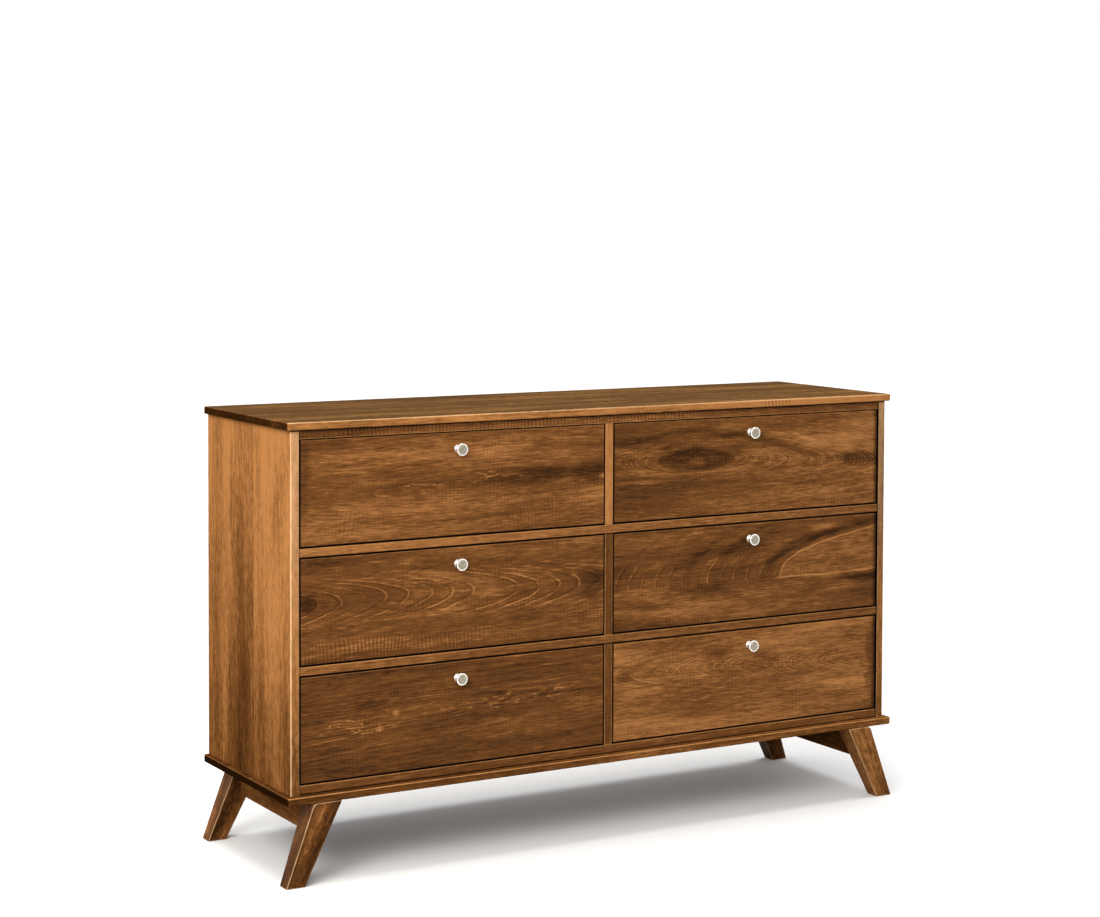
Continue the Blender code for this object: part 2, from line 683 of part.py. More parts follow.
def drawer_pieces():
    """Model the six pieces of one drawer in its own frame and bake their meshes.

    The frame's origin is at the middle of the opening's lower edge, in the plane of the face.
    """
    models = {
        "front": (drawer_front("model_front"), "drawer_maple"),
        "left_side": (drawer_side("model_left_side", -1), "clear_maple"),
        "right_side": (drawer_side("model_right_side", 1), "clear_maple"),
        "back": (drawer_back("model_back"), "clear_maple"),
        "bottom": (drawer_bottom("model_bottom"), "birch_ply"),
        "knob": (drawer_knob("model_knob"), "satin_nickel"),
    }
    baked = {}
    for part_name, (model, finish) in models.items():
        mesh = baked_mesh(model)
        baked[part_name] = (mesh, finish, model.location.copy(), model.rotation_euler.copy())
    for model, _ in models.values():
        bpy.data.objects.remove(model, do_unlink=True)
    cutters = bpy.data.collections[CUTTERS].objects
    for cutter in [item for item in cutters if item.name.startswith("model_")]:
        bpy.data.objects.remove(cutter, do_unlink=True)
    knob_mesh = baked["knob"][0]
    knob_mesh.shade_smooth()
    knob_mesh.set_sharp_from_angle(angle=SMOOTH_ANGLE)
    return baked


def make_drawer(name, column, row, pieces):
    """Place one drawer under an empty that lies on its slide."""
    slide = bpy.data.objects.new(name + "_slide", None)
    centre_x = -INNER_HALF + OPENING_WIDTH / 2 + column * (OPENING_WIDTH + PARTITION_THICKNESS)
    slide.location = (centre_x, FACE_PLANE, bottom_board_of(row))
    link(slide, PARTS)
    for part_name, (mesh, finish, location, rotation) in pieces.items():
        own = mesh.copy()
        piece = place(name + "_" + part_name, own, location, rotation)
        piece.parent = slide
        paint(piece, finish)


def make_drawers():
    """Two columns of three equal drawers."""
    pieces = drawer_pieces()
    for row, row_name in enumerate(ROW_NAMES):
        for column, column_name in enumerate(COLUMN_NAMES):
            make_drawer(row_name + "_" + column_name + "_drawer", column, row, pieces)


def main():
    """Build the dresser."""
    clear_scene()
    make_collection(PARTS)
    make_collection(CUTTERS)
    make_base_board()
    for side, side_name in ((-1, "left"), (1, "right")):
        make_leg("front_" + side_name + "_leg", side, -1)
        make_leg("back_" + side_name + "_leg", side, 1)
        make_apron(side_name + "_apron", side)
        make_side_panel(side_name + "_side_panel", side)
    make_rails()
    make_dust_boards()
    make_partitions()
    make_back_panel()
    make_top_board()
    make_drawers()
    bpy.context.view_layer.update()


main()
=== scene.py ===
"""Finished look of a six-drawer dresser in stained maple.

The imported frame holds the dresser's pieces at their real size and place. This script models the
boards, legs and knobs that show with soft edges, gives every piece its finish, and sets up a plain
stage. It is laid out as an add-on and run as a script. Metres, +Z up; the fronts face -Y.
"""

import json
import math
from collections import namedtuple

import bmesh
import bpy
from bpy.props import FloatProperty, FloatVectorProperty, PointerProperty
from bpy.types import Operator, Panel, PropertyGroup
from mathutils import Matrix, Vector

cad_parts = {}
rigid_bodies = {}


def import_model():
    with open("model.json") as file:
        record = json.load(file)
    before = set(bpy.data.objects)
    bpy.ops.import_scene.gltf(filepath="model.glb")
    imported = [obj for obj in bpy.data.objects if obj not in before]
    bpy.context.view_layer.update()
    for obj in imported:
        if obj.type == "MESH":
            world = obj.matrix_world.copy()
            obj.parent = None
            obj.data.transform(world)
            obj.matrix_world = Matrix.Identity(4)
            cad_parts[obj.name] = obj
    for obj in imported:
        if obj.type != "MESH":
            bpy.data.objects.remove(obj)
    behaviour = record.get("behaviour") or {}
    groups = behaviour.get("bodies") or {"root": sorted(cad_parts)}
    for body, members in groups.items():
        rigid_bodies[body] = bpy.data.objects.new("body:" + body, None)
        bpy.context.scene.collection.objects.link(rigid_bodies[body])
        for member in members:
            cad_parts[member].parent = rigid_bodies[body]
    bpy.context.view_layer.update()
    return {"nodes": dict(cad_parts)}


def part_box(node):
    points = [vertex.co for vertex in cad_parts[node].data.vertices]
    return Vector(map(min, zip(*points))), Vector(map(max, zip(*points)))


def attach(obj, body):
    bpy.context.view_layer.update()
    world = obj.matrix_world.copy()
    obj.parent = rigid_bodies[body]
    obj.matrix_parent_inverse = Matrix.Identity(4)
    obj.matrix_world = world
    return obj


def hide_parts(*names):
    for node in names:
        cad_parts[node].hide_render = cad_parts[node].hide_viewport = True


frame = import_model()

bl_info = {
    "name": "Six-drawer dresser",
    "version": (1, 0, 0),
    "blender": (4, 5, 0),
    "location": "View3D > Sidebar > Dresser",
    "description": "Models and finishes a six-drawer dresser in stained maple",
    "category": "Object",
}

X = Vector((1, 0, 0))
Y = Vector((0, 1, 0))
Z = Vector((0, 0, 1))

ROWS = ("bottom", "middle", "top")
COLUMNS = ("left", "right")
SIDES = {"left": -1, "right": 1}

# The legs' sizes, which the frame's boxes alone don't give
LEG_TOP_INSET = 0.058
LEG_SETBACK = 0.001
LEG_TOP_CLEARANCE = 0.0003

# Places nearer than this are the same, and points nearer than the other are one
SAME_PLACE = 0.00005
WELD_DISTANCE = 0.00001

# Faces in a rounded corner of a board, in its rims and in a leg's outer top corner
CORNER_SEGMENTS = 6
RIM_SEGMENTS = 4
LEG_CORNER_SEGMENTS = 8
APRON_SEGMENTS = 3

# A face wider than this is a flat, and not a strip of a rounded edge
FLAT_WIDTH = 0.0028

# Edges flatter than this, in degrees, are shaded smooth on the boards and on the knobs
BOARD_SMOOTH = 35
KNOB_SMOOTH = 40

# An edge is rubbed, with a painted highlight, where its normal leaves the flats: the cosine where that
# starts, and its span
WEAR_HIGHLIGHT_START = 0.9985
WEAR_HIGHLIGHT_SPAN = 0.06

# The narrow faces in the gap round a drawer front carry painted shade from here on, below the show
# face
PAINTED_SHADE_START = 0.0002
PAINTED_SHADE_DEEP = 0.0012

# How dark the painted shade is on the narrow faces in a gap, and the two painted shades at the ends of
# a right front
RAIL_PAINTED_SHADE = 0.9
FRONT_PAINTED_SHADE = 0.55
INNER_END_PAINTED_SHADE = 0.8
END_SHADE = 0.75

# Strips along an edge, of painted shade, and the last two of wear with a painted highlight: how far
# from the edge each one starts, and how far from it it is full
UNDER_STRIP = (0.0028, 0.0014)
OUTER_END_STRIP = (0.0028, 0.0014)
MIDDLE_END_STRIP = (0.0020, 0.0010)
INNER_END_STRIP = (0.0024, 0.0012)
END_SHADE_STRIP = (0.014, 0.001)
FACE_STRIP = (0.0042, 0.0028)
TOP_SHADE_STRIP = (0.0034, 0.0018)
PANEL_FRONT_STRIP = (0.022, 0.018)
PANEL_INSIDE_STRIP = (0.0012, 0.0004)
UPPER_WEAR_HIGHLIGHT_STRIP = (0.004, 0.003)
LOWER_WEAR_HIGHLIGHT_STRIP = (0.003, 0.002)

# Ramps over how squarely a face looks one way
SQUARE_ON = (0.6, 0.95)
SIDE_ON = (0.75, 0.5)

# How much stain the end grain of the base board and of the top board drank
SOAKED = 0.62
STAINED = 0.25

# The near black of painted shade in gaps and of end grain soaked in stain, and what the floor gives
# back as soft light
SHADE_AND_SOAK_COLOUR = (0.0030, 0.0015, 0.0008)
FLOOR_BOUNCE = (0.28, 0.28, 0.28)

# The knob and its screw: radii, and distances out from the drawer front
FRONT_THICKNESS = 0.019
KNOB_OUT = 0.022
KNOB_RADIUS = 0.0132
KNOB_RIM = 0.006
KNOB_DISH = 0.0009
DULL_RADIUS = 0.0106
KNOB_SEGMENTS = 64
RIM_STEPS = 10
NECK_RADIUS = 0.0034
FOOT_RADIUS = 0.0085
FOOT_EDGE = 0.0013
FOOT_EASE = 0.0003
SCREW_RADIUS = 0.002
SCREW_HEAD_RADIUS = 0.0045
SCREW_HEAD_THICKNESS = 0.002
SEAT_GAP = 0.0003

# The knob's profile, as shares: the neck's place along the stem, the round rim's middle on the radius
# and its half thickness of the head's, and the head's back on the radius and on its thickness
NECK_PLACE = 0.45
RIM_MIDDLE = 0.91
RIM_HALF = 0.38
HEAD_BACK = 0.84
HEAD_REACH = 0.22
FLARE_SHARES = (0.1, 0.2, 0.32, 0.45, 0.6, 0.8, 1.0)
FLARE_CURVE = 2.6
SWELL_SHARES = (0.3, 0.55, 0.75, 0.9, 1.0)
DISH_SHARES = (0.80, 0.60, 0.40, 0.20, 0.04)

# Plies of the drawer bottoms and of the back, plies of the dust boards, and where figures start
THIN_PLIES = 5
THICK_PLIES = 9
DUST_BOARD_SEED = 60.0
BACK_SEED = 70.0

# Camera: place in metres and direction in degrees
CAMERA_PLACE = (-2.6596, -4.4641, 1.3742)
CAMERA_YAW = 30.494
CAMERA_PITCH = -2.370
CAMERA_ROLL = 0.206
CAMERA_LENS = 76.476
CAMERA_SENSOR = 36.0
CAMERA_SHIFT = (0.0, -0.1441)

# Suns: energy, angle in degrees and the way to the light
SUNS = {
    "overhead": (1.75, 28.0, (0.0, 0.05, 1.0)),
    "front_fill": (1.3, 40.0, (-0.62, -0.68, 0.40)),
}
SUN_DISTANCE = 4.0

# Softboxes: energy, side, place, target and colour
SOFTBOXES = {
    "left_box": (29.0, 1.0, (-2.2, -1.2, 1.9), (-0.5, 0, 0.7), (1.0, 0.95, 0.86)),
    "front_box": (16.0, 1.2, (-1.6, -2.2, 2.2), (-0.3, -0.2, 0.7), (1.0, 0.98, 0.95)),
}
AMBIENT = 0.47
FLOOR_SIZE = 120.0

# Inputs of the maple pattern, in metres in the board's own frame: along the grain, across it, and out
# from the show face.
MAPLE = {
    "Heart along": 0.0,
    "Heart across": 0.0,
    "Heart depth": 0.050,
    "Rise": 0.030,
    "Bow": 0.0,
    "Lean": 0.0,
    "Skew": 0.0,
    "Ring width": 0.0040,
    "Drift": 0.0020,
    "Rings": 0.36,
    "Lines": 0.0,
    "Line reach": 0.09,
    "Shade": 0.0,
    "Fade": 0.0,
    "Clouds": 1.18,
    "Streaks": 1.06,
    "Weave": 0.08,
    "Mottle": 0.22,
    "Ripples": 0.05,
    "End shade": 0.12,
    "Eye radius": 0.0,
    "Eye tone": 0.0,
    "Eye line": 0.0,
    "Band radius": 1.0,
    "Band tone": 0.0,
    "Joint 1": 9.0,
    "Joint 2": 9.0,
    "Joint 3": 9.0,
    "Step 1": 0.0,
    "Step 2": 0.0,
    "Step 3": 0.0,
    "Seed": 0.0,
}

# Zones of a board. Each has a middle with a lean, and a length and width with a strength.
NO_ZONE = ((0.0, 0.0, 0.0), (0.01, 0.01, 0.0))
PATCHES = ("Patch 1", "Patch 2", "Patch 3", "Patch 4", "Patch 5", "Patch 6")
ZONES = (*PATCHES, "Squiggle 1", "Squiggle 2", "Ripple")

# Noises in the maple: grain per metre along, across and out, then detail and roughness
NOISES = {
    "sway": ((2.0, 1.5, 1.5), 1.0, 0.5),
    "drift": ((6.0, 16.0, 16.0), 3.0, 0.6),
    "waver": ((22.0, 70.0, 70.0), 2.0, 0.5),
    "breaks": ((9.0, 34.0, 34.0), 2.0, 0.5),
    "clouds": ((2.4, 17.0, 17.0), 4.0, 0.64),
    "mottle": ((55.0, 120.0, 120.0), 2.0, 0.6),
    "fibres": ((24.0, 400.0, 400.0), 3.0, 0.8),
    "bundles": ((8.0, 150.0, 150.0), 2.0, 0.5),
    "flecks": ((42.0, 520.0, 520.0), 1.0, 0.5),
    "weave": ((330.0, 36.0, 36.0), 1.0, 0.5),
    "curl": ((5.0, 14.0, 14.0), 1.0, 0.5),
    "ripple bends": ((8.0, 9.0, 9.0), 1.0, 0.5),
    "ripple breaks": ((24.0, 30.0, 30.0), 1.0, 0.5),
    "squiggles": ((8.0, 52.0, 52.0), 3.0, 0.56),
}
FIBRES_APART = (7.3, 2.1, 4.7)

# How each drawer front was sawn. What a row leaves out is as in MAPLE.
FRONT_GRAIN = {
    "top_left": {
        "Heart along": 0.11, "Heart across": 0.006, "Heart depth": 0.034, "Bow": 0.055, "Rise": 0.0,
        "Lean": 0.04, "Ring width": 0.0032, "Rings": 0.42, "Lines": 0.12, "Shade": 0.01,
        "Fade": -0.04, "Seed": 3.0, "Band radius": 0.0385, "Band tone": -0.06,
        "Patch 1": ((0.16, 0.008, 0.02), (0.15, 0.022, -0.20)),
        "Patch 2": ((0.350, -0.006, 0), (0.022, 0.009, 0.55)),
        "Patch 3": ((0.33, 0.004, 0), (0.055, 0.040, -0.26)),
        "Patch 4": ((-0.36, 0.03, 0), (0.030, 0.12, -0.22)),
        "Patch 5": ((0.28, 0.075, 0), (0.20, 0.030, -0.12)),
        "Patch 6": ((-0.10, -0.065, 0), (0.30, 0.050, 0.08)),
        "Squiggle 1": ((-0.075, 0.000, -0.03), (0.070, 0.012, 0.55)),
        "Squiggle 2": ((0.10, 0.014, 0.12), (0.095, 0.018, 0.48)),
    },
    "top_right": {
        "Heart along": -0.143, "Heart across": 0.019, "Heart depth": 0.030, "Rise": 0.0,
        "Bow": 0.15, "Lean": -0.05, "Ring width": 0.0017, "Rings": 0.54, "Lines": 0.34,
        "Line reach": 0.046, "Shade": 0.0, "Fade": 0.30, "Drift": 0.0012, "Eye radius": 0.0390,
        "Eye tone": -0.27, "Band radius": 0.0710, "Band tone": -0.20, "Seed": 8.0,
        "Patch 1": ((-0.143, 0.014, 0), (0.030, 0.012, 0.26)),
        "Patch 2": ((-0.04, 0.068, 0), (0.10, 0.009, -0.24)),
        "Patch 3": ((0.13, 0.058, -0.14), (0.10, 0.007, 0.22)),
        "Patch 4": ((0.305, 0.000, 0), (0.075, 0.026, -0.32)),
        "Patch 5": ((0.02, -0.075, 0), (0.40, 0.045, 0.10)),
        "Patch 6": ((-0.30, -0.024, -0.06), (0.14, 0.006, 0.22)),
        "Squiggle 1": ((-0.130, -0.045, 0), (0.024, 0.030, 0.30)),
    },
    "middle_left": {
        "Heart across": 0.018, "Heart depth": 0.100, "Rise": 0.070, "Ring width": 0.0036,
        "Line reach": 0.060, "Rings": 0.36, "Lines": 0.42, "Shade": -0.06, "Fade": 0.10,
        "Drift": 0.0010, "Seed": 12.0, "Skew": -0.10,
        "Patch 1": ((0.03, 0.072, -0.05), (0.16, 0.022, -0.14)),
        "Patch 2": ((-0.06, -0.022, 0.08), (0.14, 0.010, 0.20)),
        "Patch 3": ((0.325, 0.010, 0), (0.040, 0.055, -0.22)),
        "Patch 4": ((-0.345, 0.018, 0), (0.035, 0.020, -0.26)),
        "Patch 5": ((-0.20, -0.080, 0), (0.16, 0.030, 0.12)),
        "Patch 6": ((0.08, 0.010, 0.05), (0.06, 0.012, 0.16)),
        "Ripple": ((-0.16, -0.094, 0), (0.36, 0.046, 0.11)),
    },
    "middle_right": {
        "Heart along": 0.086, "Heart across": -0.0170, "Heart depth": 0.0200, "Rise": -0.0183,
        "Bow": 0.011, "Skew": 0.89, "Ring width": 0.0010, "Rings": 0.48, "Lines": 0.27,
        "Line reach": 0.070, "Shade": -0.10, "Drift": 0.00012, "Eye radius": 0.0200,
        "Eye tone": 0.17, "Eye line": 0.38, "Band radius": 0.0208, "Band tone": -0.26, "Seed": 21.0,
        "Patch 1": ((-0.10, 0.045, 0.22), (0.24, 0.018, -0.18)),
        "Patch 2": ((0.325, -0.034, 0), (0.11, 0.012, -0.42)),
        "Patch 3": ((0.14, 0.046, 0.30), (0.17, 0.010, -0.26)),
        "Patch 4": ((-0.18, -0.075, 0.05), (0.22, 0.030, 0.15)),
        "Patch 5": ((0.24, 0.086, 0.06), (0.09, 0.008, 0.24)),
        "Patch 6": ((-0.34, 0.010, 0), (0.06, 0.060, -0.16)),
        "Squiggle 1": ((-0.05, 0.020, 0), (0.016, 0.012, 0.30)),
    },
    "bottom_left": {
        "Heart across": 0.02, "Heart depth": 0.040, "Rise": 0.010, "Lean": 0.04,
        "Ring width": 0.0036, "Rings": 0.44, "Lines": 0.20, "Shade": -0.18, "Fade": 0.05,
        "Drift": 0.0035, "Seed": 33.0,
        "Patch 1": ((-0.195, 0.038, 0.1), (0.060, 0.014, -0.30)),
        "Patch 2": ((-0.131, 0.016, 0), (0.011, 0.009, 0.34)),
        "Patch 3": ((0.18, 0.070, 0), (0.18, 0.030, -0.14)),
        "Patch 4": ((-0.185, -0.013, 0), (0.014, 0.008, 0.30)),
        "Patch 5": ((-0.20, 0.090, 0), (0.15, 0.020, 0.12)),
        "Patch 6": ((0.20, -0.050, 0), (0.24, 0.035, 0.10)),
        "Squiggle 1": ((-0.225, 0.000, 0.03), (0.135, 0.028, 0.55)),
        "Squiggle 2": ((0.14, 0.018, 0.05), (0.240, 0.024, 0.46)),
    },
    "bottom_right": {
        "Heart along": 0.20, "Heart across": 0.024, "Heart depth": 0.060, "Rise": -0.080,
        "Lean": -0.02, "Ring width": 0.0019, "Rings": 0.34, "Lines": 0.26, "Line reach": 0.046,
        "Shade": 0.09, "Drift": 0.0022, "Seed": 47.0,
        # Patch 1 is painted shade of the side panel at the right end
        "Patch 1": ((0.350, 0.0, 0), (0.022, 0.14, -0.24)),
        "Patch 2": ((-0.08, 0.065, 0), (0.08, 0.025, -0.20)),
        "Patch 3": ((-0.335, 0.030, 0), (0.040, 0.020, -0.20)),
        "Patch 4": ((0.04, 0.036, 0), (0.10, 0.018, -0.12)),
        "Patch 5": ((-0.30, -0.005, 0), (0.09, 0.014, 0.14)),
        "Patch 6": ((0.28, -0.038, 0), (0.09, 0.020, 0.18)),
        "Squiggle 1": ((0.11, 0.032, -0.25), (0.06, 0.018, 0.34)),
        "Squiggle 2": ((0.25, 0.024, 0), (0.06, 0.018, 0.30)),
    },
}

# Boards that show around the drawers
PLAIN = {"Rings": 0.16, "Heart across": 0.2, "Clouds": 0.40, "Ripples": 0.02}
LEG = {"Clouds": 1.7, "Mottle": 0.85, "Weave": 0.0, "Streaks": 0.55}
CASE_GRAIN = {
    "top_board": {
        "Heart depth": 0.07, "Heart across": 0.35, "Rise": 0.02, "Shade": 0.0, "Fade": 0.07,
        "Streaks": 0.85, "Clouds": 0.95, "Mottle": 0.45, "Weave": 0.0, "End shade": 0.46,
        "Joint 1": -0.095, "Joint 2": 0.020, "Joint 3": 0.125, "Step 1": -0.05, "Step 2": 0.06,
        "Step 3": -0.03, "Seed": 51.0,
        "Patch 1": ((0.05, -0.222, 0), (3.0, 0.012, 0.36)),
        "Ripple": ((0.42, -0.22, 0), (0.10, 0.03, 0.3)),
    },
    "base_board": {
        "Heart depth": 0.06, "Heart across": 0.30, "Rise": 0.02, "Shade": -0.10, "Fade": 0.23,
        "End shade": 0.50, "Joint 1": -0.080, "Joint 2": 0.045, "Step 1": 0.04, "Step 2": -0.04,
        "Seed": 55.0,
    },
    # Fade paints the left panel lighter toward the top: painted light falling from above
    "left_side_panel": {
        "Heart depth": 0.05, "Heart across": 0.33, "Rise": 0.03, "Shade": 0.30, "Ripples": 0.02,
        "Weave": 0.02, "Mottle": 0.58, "Clouds": 1.1, "Streaks": 0.52, "Fade": 0.62,
        "Joint 1": -0.030, "Joint 2": 0.079, "Step 1": -0.20, "Step 2": 0.13, "Seed": 61.0,
        "Patch 2": ((-0.28, 0.03, 0), (0.24, 0.060, -0.20)),
        "Patch 3": ((0.20, 0.086, 0), (0.20, 0.011, -0.24)),
        "Patch 4": ((0.10, -0.022, 0), (0.30, 0.008, -0.14)),
    },
    "right_side_panel": {
        "Heart depth": 0.06, "Heart across": 0.33, "Rise": 0.03, "Shade": 0.12, "Fade": 0.20,
        "Joint 1": -0.060, "Joint 2": 0.090, "Step 1": -0.08, "Step 2": 0.10, "Seed": 64.0,
    },
    "top_rail": {
        **PLAIN, "Shade": 0.0, "Seed": 71.0,
        # Patch 1 is a painted shadow of the top board along the upper edge, and Patch 2 painted shade
        # at the left end
        "Patch 1": ((0, 0.0095, 0), (3.0, 0.003, -0.6)),
        "Patch 2": ((-0.66, 0, 0), (0.16, 0.05, -0.22)),
        "Ripple": ((-0.20, 0, 0), (0.80, 0.05, 0.14)),
    },
    "upper_rail": {**PLAIN, "Shade": 0.14, "Fade": -0.12, "Seed": 72.0},
    "lower_rail": {**PLAIN, "Shade": 0.03, "Fade": 0.0, "Seed": 73.0},
    "bottom_rail": {**PLAIN, "Shade": -0.06, "Seed": 74.0},
    "top_back_rail": {**PLAIN, "Shade": 0.05, "Seed": 75.0},
    "top_partition": {**PLAIN, "Shade": 0.42, "Seed": 81.0},
    "middle_partition": {**PLAIN, "Shade": -0.14, "Seed": 82.0},
    "bottom_partition": {**PLAIN, "Shade": -0.14, "Seed": 83.0},
    "left_apron": {"Shade": 0.02, "Clouds": 1.1, "Seed": 91.0},
    # The right apron is nearly black: painted shade under the base board
    "right_apron": {"Shade": -0.42, "Seed": 92.0},
    "front_left_leg": {**LEG, "Shade": -0.36, "Fade": 0.8, "Seed": 101.0},
    "front_right_leg": {**LEG, "Shade": -0.02, "Fade": 0.6, "Seed": 102.0},
    "back_left_leg": {**LEG, "Shade": -0.05, "Seed": 103.0},
    # The back right leg is nearly black: painted shade under the dresser
    "back_right_leg": {**LEG, "Shade": -0.40, "Seed": 104.0},
}


def colour_property(name, description, default):
    """A colour that a user can change."""
    return FloatVectorProperty(name=name, description=description, default=default, size=3,
                               subtype="COLOR", min=0.0, max=1.0)


def length_property(name, description, default):
    """A length that a user can change."""
    return FloatProperty(name=name, description=description, default=default, min=0.0, unit="LENGTH",
                         subtype="DISTANCE", precision=4)


class DresserSizes(PropertyGroup):
    """Sizes of the soft edges and of the legs."""

    top_corner: length_property("Top corner", "Radius of the top board's upright corners", 0.004)
    top_edge: length_property("Top edge", "Radius of the top board's rims", 0.003)
    base_corner: length_property("Base corner", "Radius of the base board's upright corners", 0.006)
    base_edge: length_property("Base edge", "Radius of the base board's rims", 0.0025)
    panel_outer: length_property("Panel outer edge", "Radius of a panel's outer front edge", 0.003)
    panel_inner: length_property("Panel inner edge", "Radius of a panel's inner front edge", 0.0015)
    leg_edge: length_property("Leg edge", "Radius of a leg's long edges", 0.002)
    leg_corner: length_property("Leg corner", "Radius of a leg's outer top corner", 0.009)
    leg_top_width: length_property("Leg top width", "Width of a leg under the base board", 0.062)
    leg_foot_width: length_property("Leg foot width", "Width of a leg at the floor", 0.042)
    leg_top_depth: length_property("Leg top depth", "Depth of a leg under the base board", 0.050)
    leg_foot_depth: length_property("Leg foot depth", "Depth of a leg at the floor", 0.034)
    leg_splay: length_property("Leg splay", "How far a foot stands out from its leg's top", 0.0618)
    apron_edge: length_property("Apron edge", "Radius of an apron's long edges", 0.0015)


class DresserColours(PropertyGroup):
    """Colours of the finishes."""

    stain_dark: colour_property(
        "Stain, dark", "Stained maple where it drank most", (0.042, 0.0145, 0.0034))
    stain_middle: colour_property(
        "Stain, middle", "Stained maple", (0.176, 0.066, 0.0168))
    stain_light: colour_property(
        "Stain, light", "Stained maple at its palest", (0.520, 0.220, 0.068))
    # Wear with a painted highlight on eased edges, in cream and, below, in orange
    stain_rub_highlight: colour_property(
        "Stain, rubbed", "Edges where the stain is rubbed thin", (0.74, 0.48, 0.26))
    stain_thin_highlight: colour_property(
        "Stain, thin", "Eased edges where the stain is thin", (0.56, 0.27, 0.095))
    # Upward faces of the top board take these: greyer as a painted sheen, and darker as painted shade
    # against the light from above
    top_dark: colour_property(
        "Top, dark", "Top board where it drank most", (0.045, 0.020, 0.007))
    top_middle: colour_property(
        "Top, middle", "Top board, greyer from use", (0.130, 0.066, 0.025))
    top_light: colour_property(
        "Top, light", "Top board at its palest", (0.420, 0.200, 0.065))
    clear_light: colour_property(
        "Clear maple", "Unstained maple of the drawer boxes", (0.70, 0.52, 0.32))
    clear_dark: colour_property(
        "Clear maple, dark", "Darker growth in unstained maple", (0.50, 0.33, 0.17))
    ply_light: colour_property(
        "Ply", "Birch ply face", (0.66, 0.49, 0.30))
    ply_dark: colour_property(
        "Ply, dark", "Darker veins and the cross plies", (0.42, 0.27, 0.14))
    nickel: colour_property(
        "Nickel", "Satin nickel of the knobs, where it is rubbed", (0.90, 0.88, 0.82))
    nickel_dull: colour_property(
        "Nickel, dull", "Dished face of the knobs", (0.27, 0.24, 0.17))
    # Painted shade and a painted brown reflection of the wood, on the undersides of the stems
    nickel_shade: colour_property(
        "Nickel, shaded", "Undersides of the knobs' stems", (0.16, 0.11, 0.07))
    floor: colour_property(
        "Floor", "Plain floor and backdrop", (0.97, 0.965, 0.955))


class Number:
    """A value that a shader works out at each point, so that a pattern reads as a formula."""

    def __init__(self, sketch, socket):
        self.sketch = sketch
        self.socket = socket

    def apply(self, operation, *others, clamp=False):
        """Put this value and others through a Math node."""
        feeds = dict(enumerate((self, *others)))
        node = self.sketch.node("ShaderNodeMath", feeds, operation=operation, use_clamp=clamp)
        return Number(self.sketch, node.outputs[0])

    def __add__(self, other):
        return self.apply("ADD", other)

    def __sub__(self, other):
        return self.apply("SUBTRACT", other)

    def __mul__(self, other):
        return self.apply("MULTIPLY", other)

    def __truediv__(self, other):
        return self.apply("DIVIDE", other)

    def fade(self, start, end, curve="SMOOTHSTEP"):
        """Rise from 0 at start to 1 at end, smoothly or in a straight line."""
        feeds = {"Value": self, "From Min": start, "From Max": end}
        node = self.sketch.node("ShaderNodeMapRange", feeds, interpolation_type=curve)
        return Number(self.sketch, node.outputs["Result"])


class Sketch:
    """Adds nodes to one tree, each in a column to the right of what feeds it."""

    COLUMN = 190
    ROW = 170

    def __init__(self, tree):
        self.tree = tree
        self.columns = {}
        self.filled = {}

    def node(self, kind, feeds=None, **settings):
        """Add a node, set it up and feed its inputs with values or with other nodes."""
        made = self.tree.nodes.new(kind)
        for setting, value in settings.items():
            setattr(made, setting, value)
        column = 0
        for key, value in (feeds or {}).items():
            if isinstance(value, Number):
                value = value.socket
            if isinstance(value, bpy.types.NodeSocket):
                self.tree.links.new(value, made.inputs[key])
                column = max(column, self.columns.get(value.node.name, 0) + 1)
            else:
                made.inputs[key].default_value = value
        row = self.filled.get(column, 0)
        self.filled[column] = row + 1
        self.columns[made.name] = column
        made.location = (column * self.COLUMN, -row * self.ROW)
        return made

    def split(self, vector):
        """Take a vector apart into three numbers."""
        node = self.node("ShaderNodeSeparateXYZ", {0: vector})
        return [Number(self, socket) for socket in node.outputs]

    def vector(self, x, y, z):
        """Put three numbers together as a vector."""
        return self.node("ShaderNodeCombineXYZ", {0: x, 1: y, 2: z}).outputs[0]

    def combine(self, operation, *vectors):
        """Put vectors through a Vector Math node."""
        node = self.node("ShaderNodeVectorMath", dict(enumerate(vectors)), operation=operation)
        return node.outputs[0]

    def noise(self, place, scale, detail=2.0, roughness=0.5):
        """Noise about zero, with its grain per metre along each axis."""
        stretched = self.combine("MULTIPLY", place, scale)
        feeds = {"Vector": stretched, "Scale": 1.0, "Detail": detail, "Roughness": roughness}
        node = self.node("ShaderNodeTexNoise", feeds, noise_dimensions="3D")
        return Number(self, node.outputs["Fac"]) - 0.5

    def noise_along(self, value, scale=1.0, detail=2.0, roughness=0.5):
        """Noise about zero that changes with one number alone."""
        feeds = {"W": value, "Scale": scale, "Detail": detail, "Roughness": roughness}
        node = self.node("ShaderNodeTexNoise", feeds, noise_dimensions="1D")
        return Number(self, node.outputs["Fac"]) - 0.5

    def mix(self, factor, first, second):
        """Blend two colours."""
        node = self.node("ShaderNodeMix", {0: factor, 6: first, 7: second}, data_type="RGBA")
        return node.outputs[2]


def rgba(colour):
    """A colour with full alpha."""
    return (*colour, 1.0)


def group_tree(name, inputs, outputs):
    """Start a node group and return its sketch and its inputs by name."""
    tree = bpy.data.node_groups.new(name, "ShaderNodeTree")
    for socket, kind in inputs.items():
        tree.interface.new_socket(name=socket, in_out="INPUT", socket_type=kind)
    for socket, kind in outputs.items():
        tree.interface.new_socket(name=socket, in_out="OUTPUT", socket_type=kind)
    sketch = Sketch(tree)
    entry = sketch.node("NodeGroupInput")
    given = {socket: entry.outputs[socket] for socket in inputs}
    return sketch, given


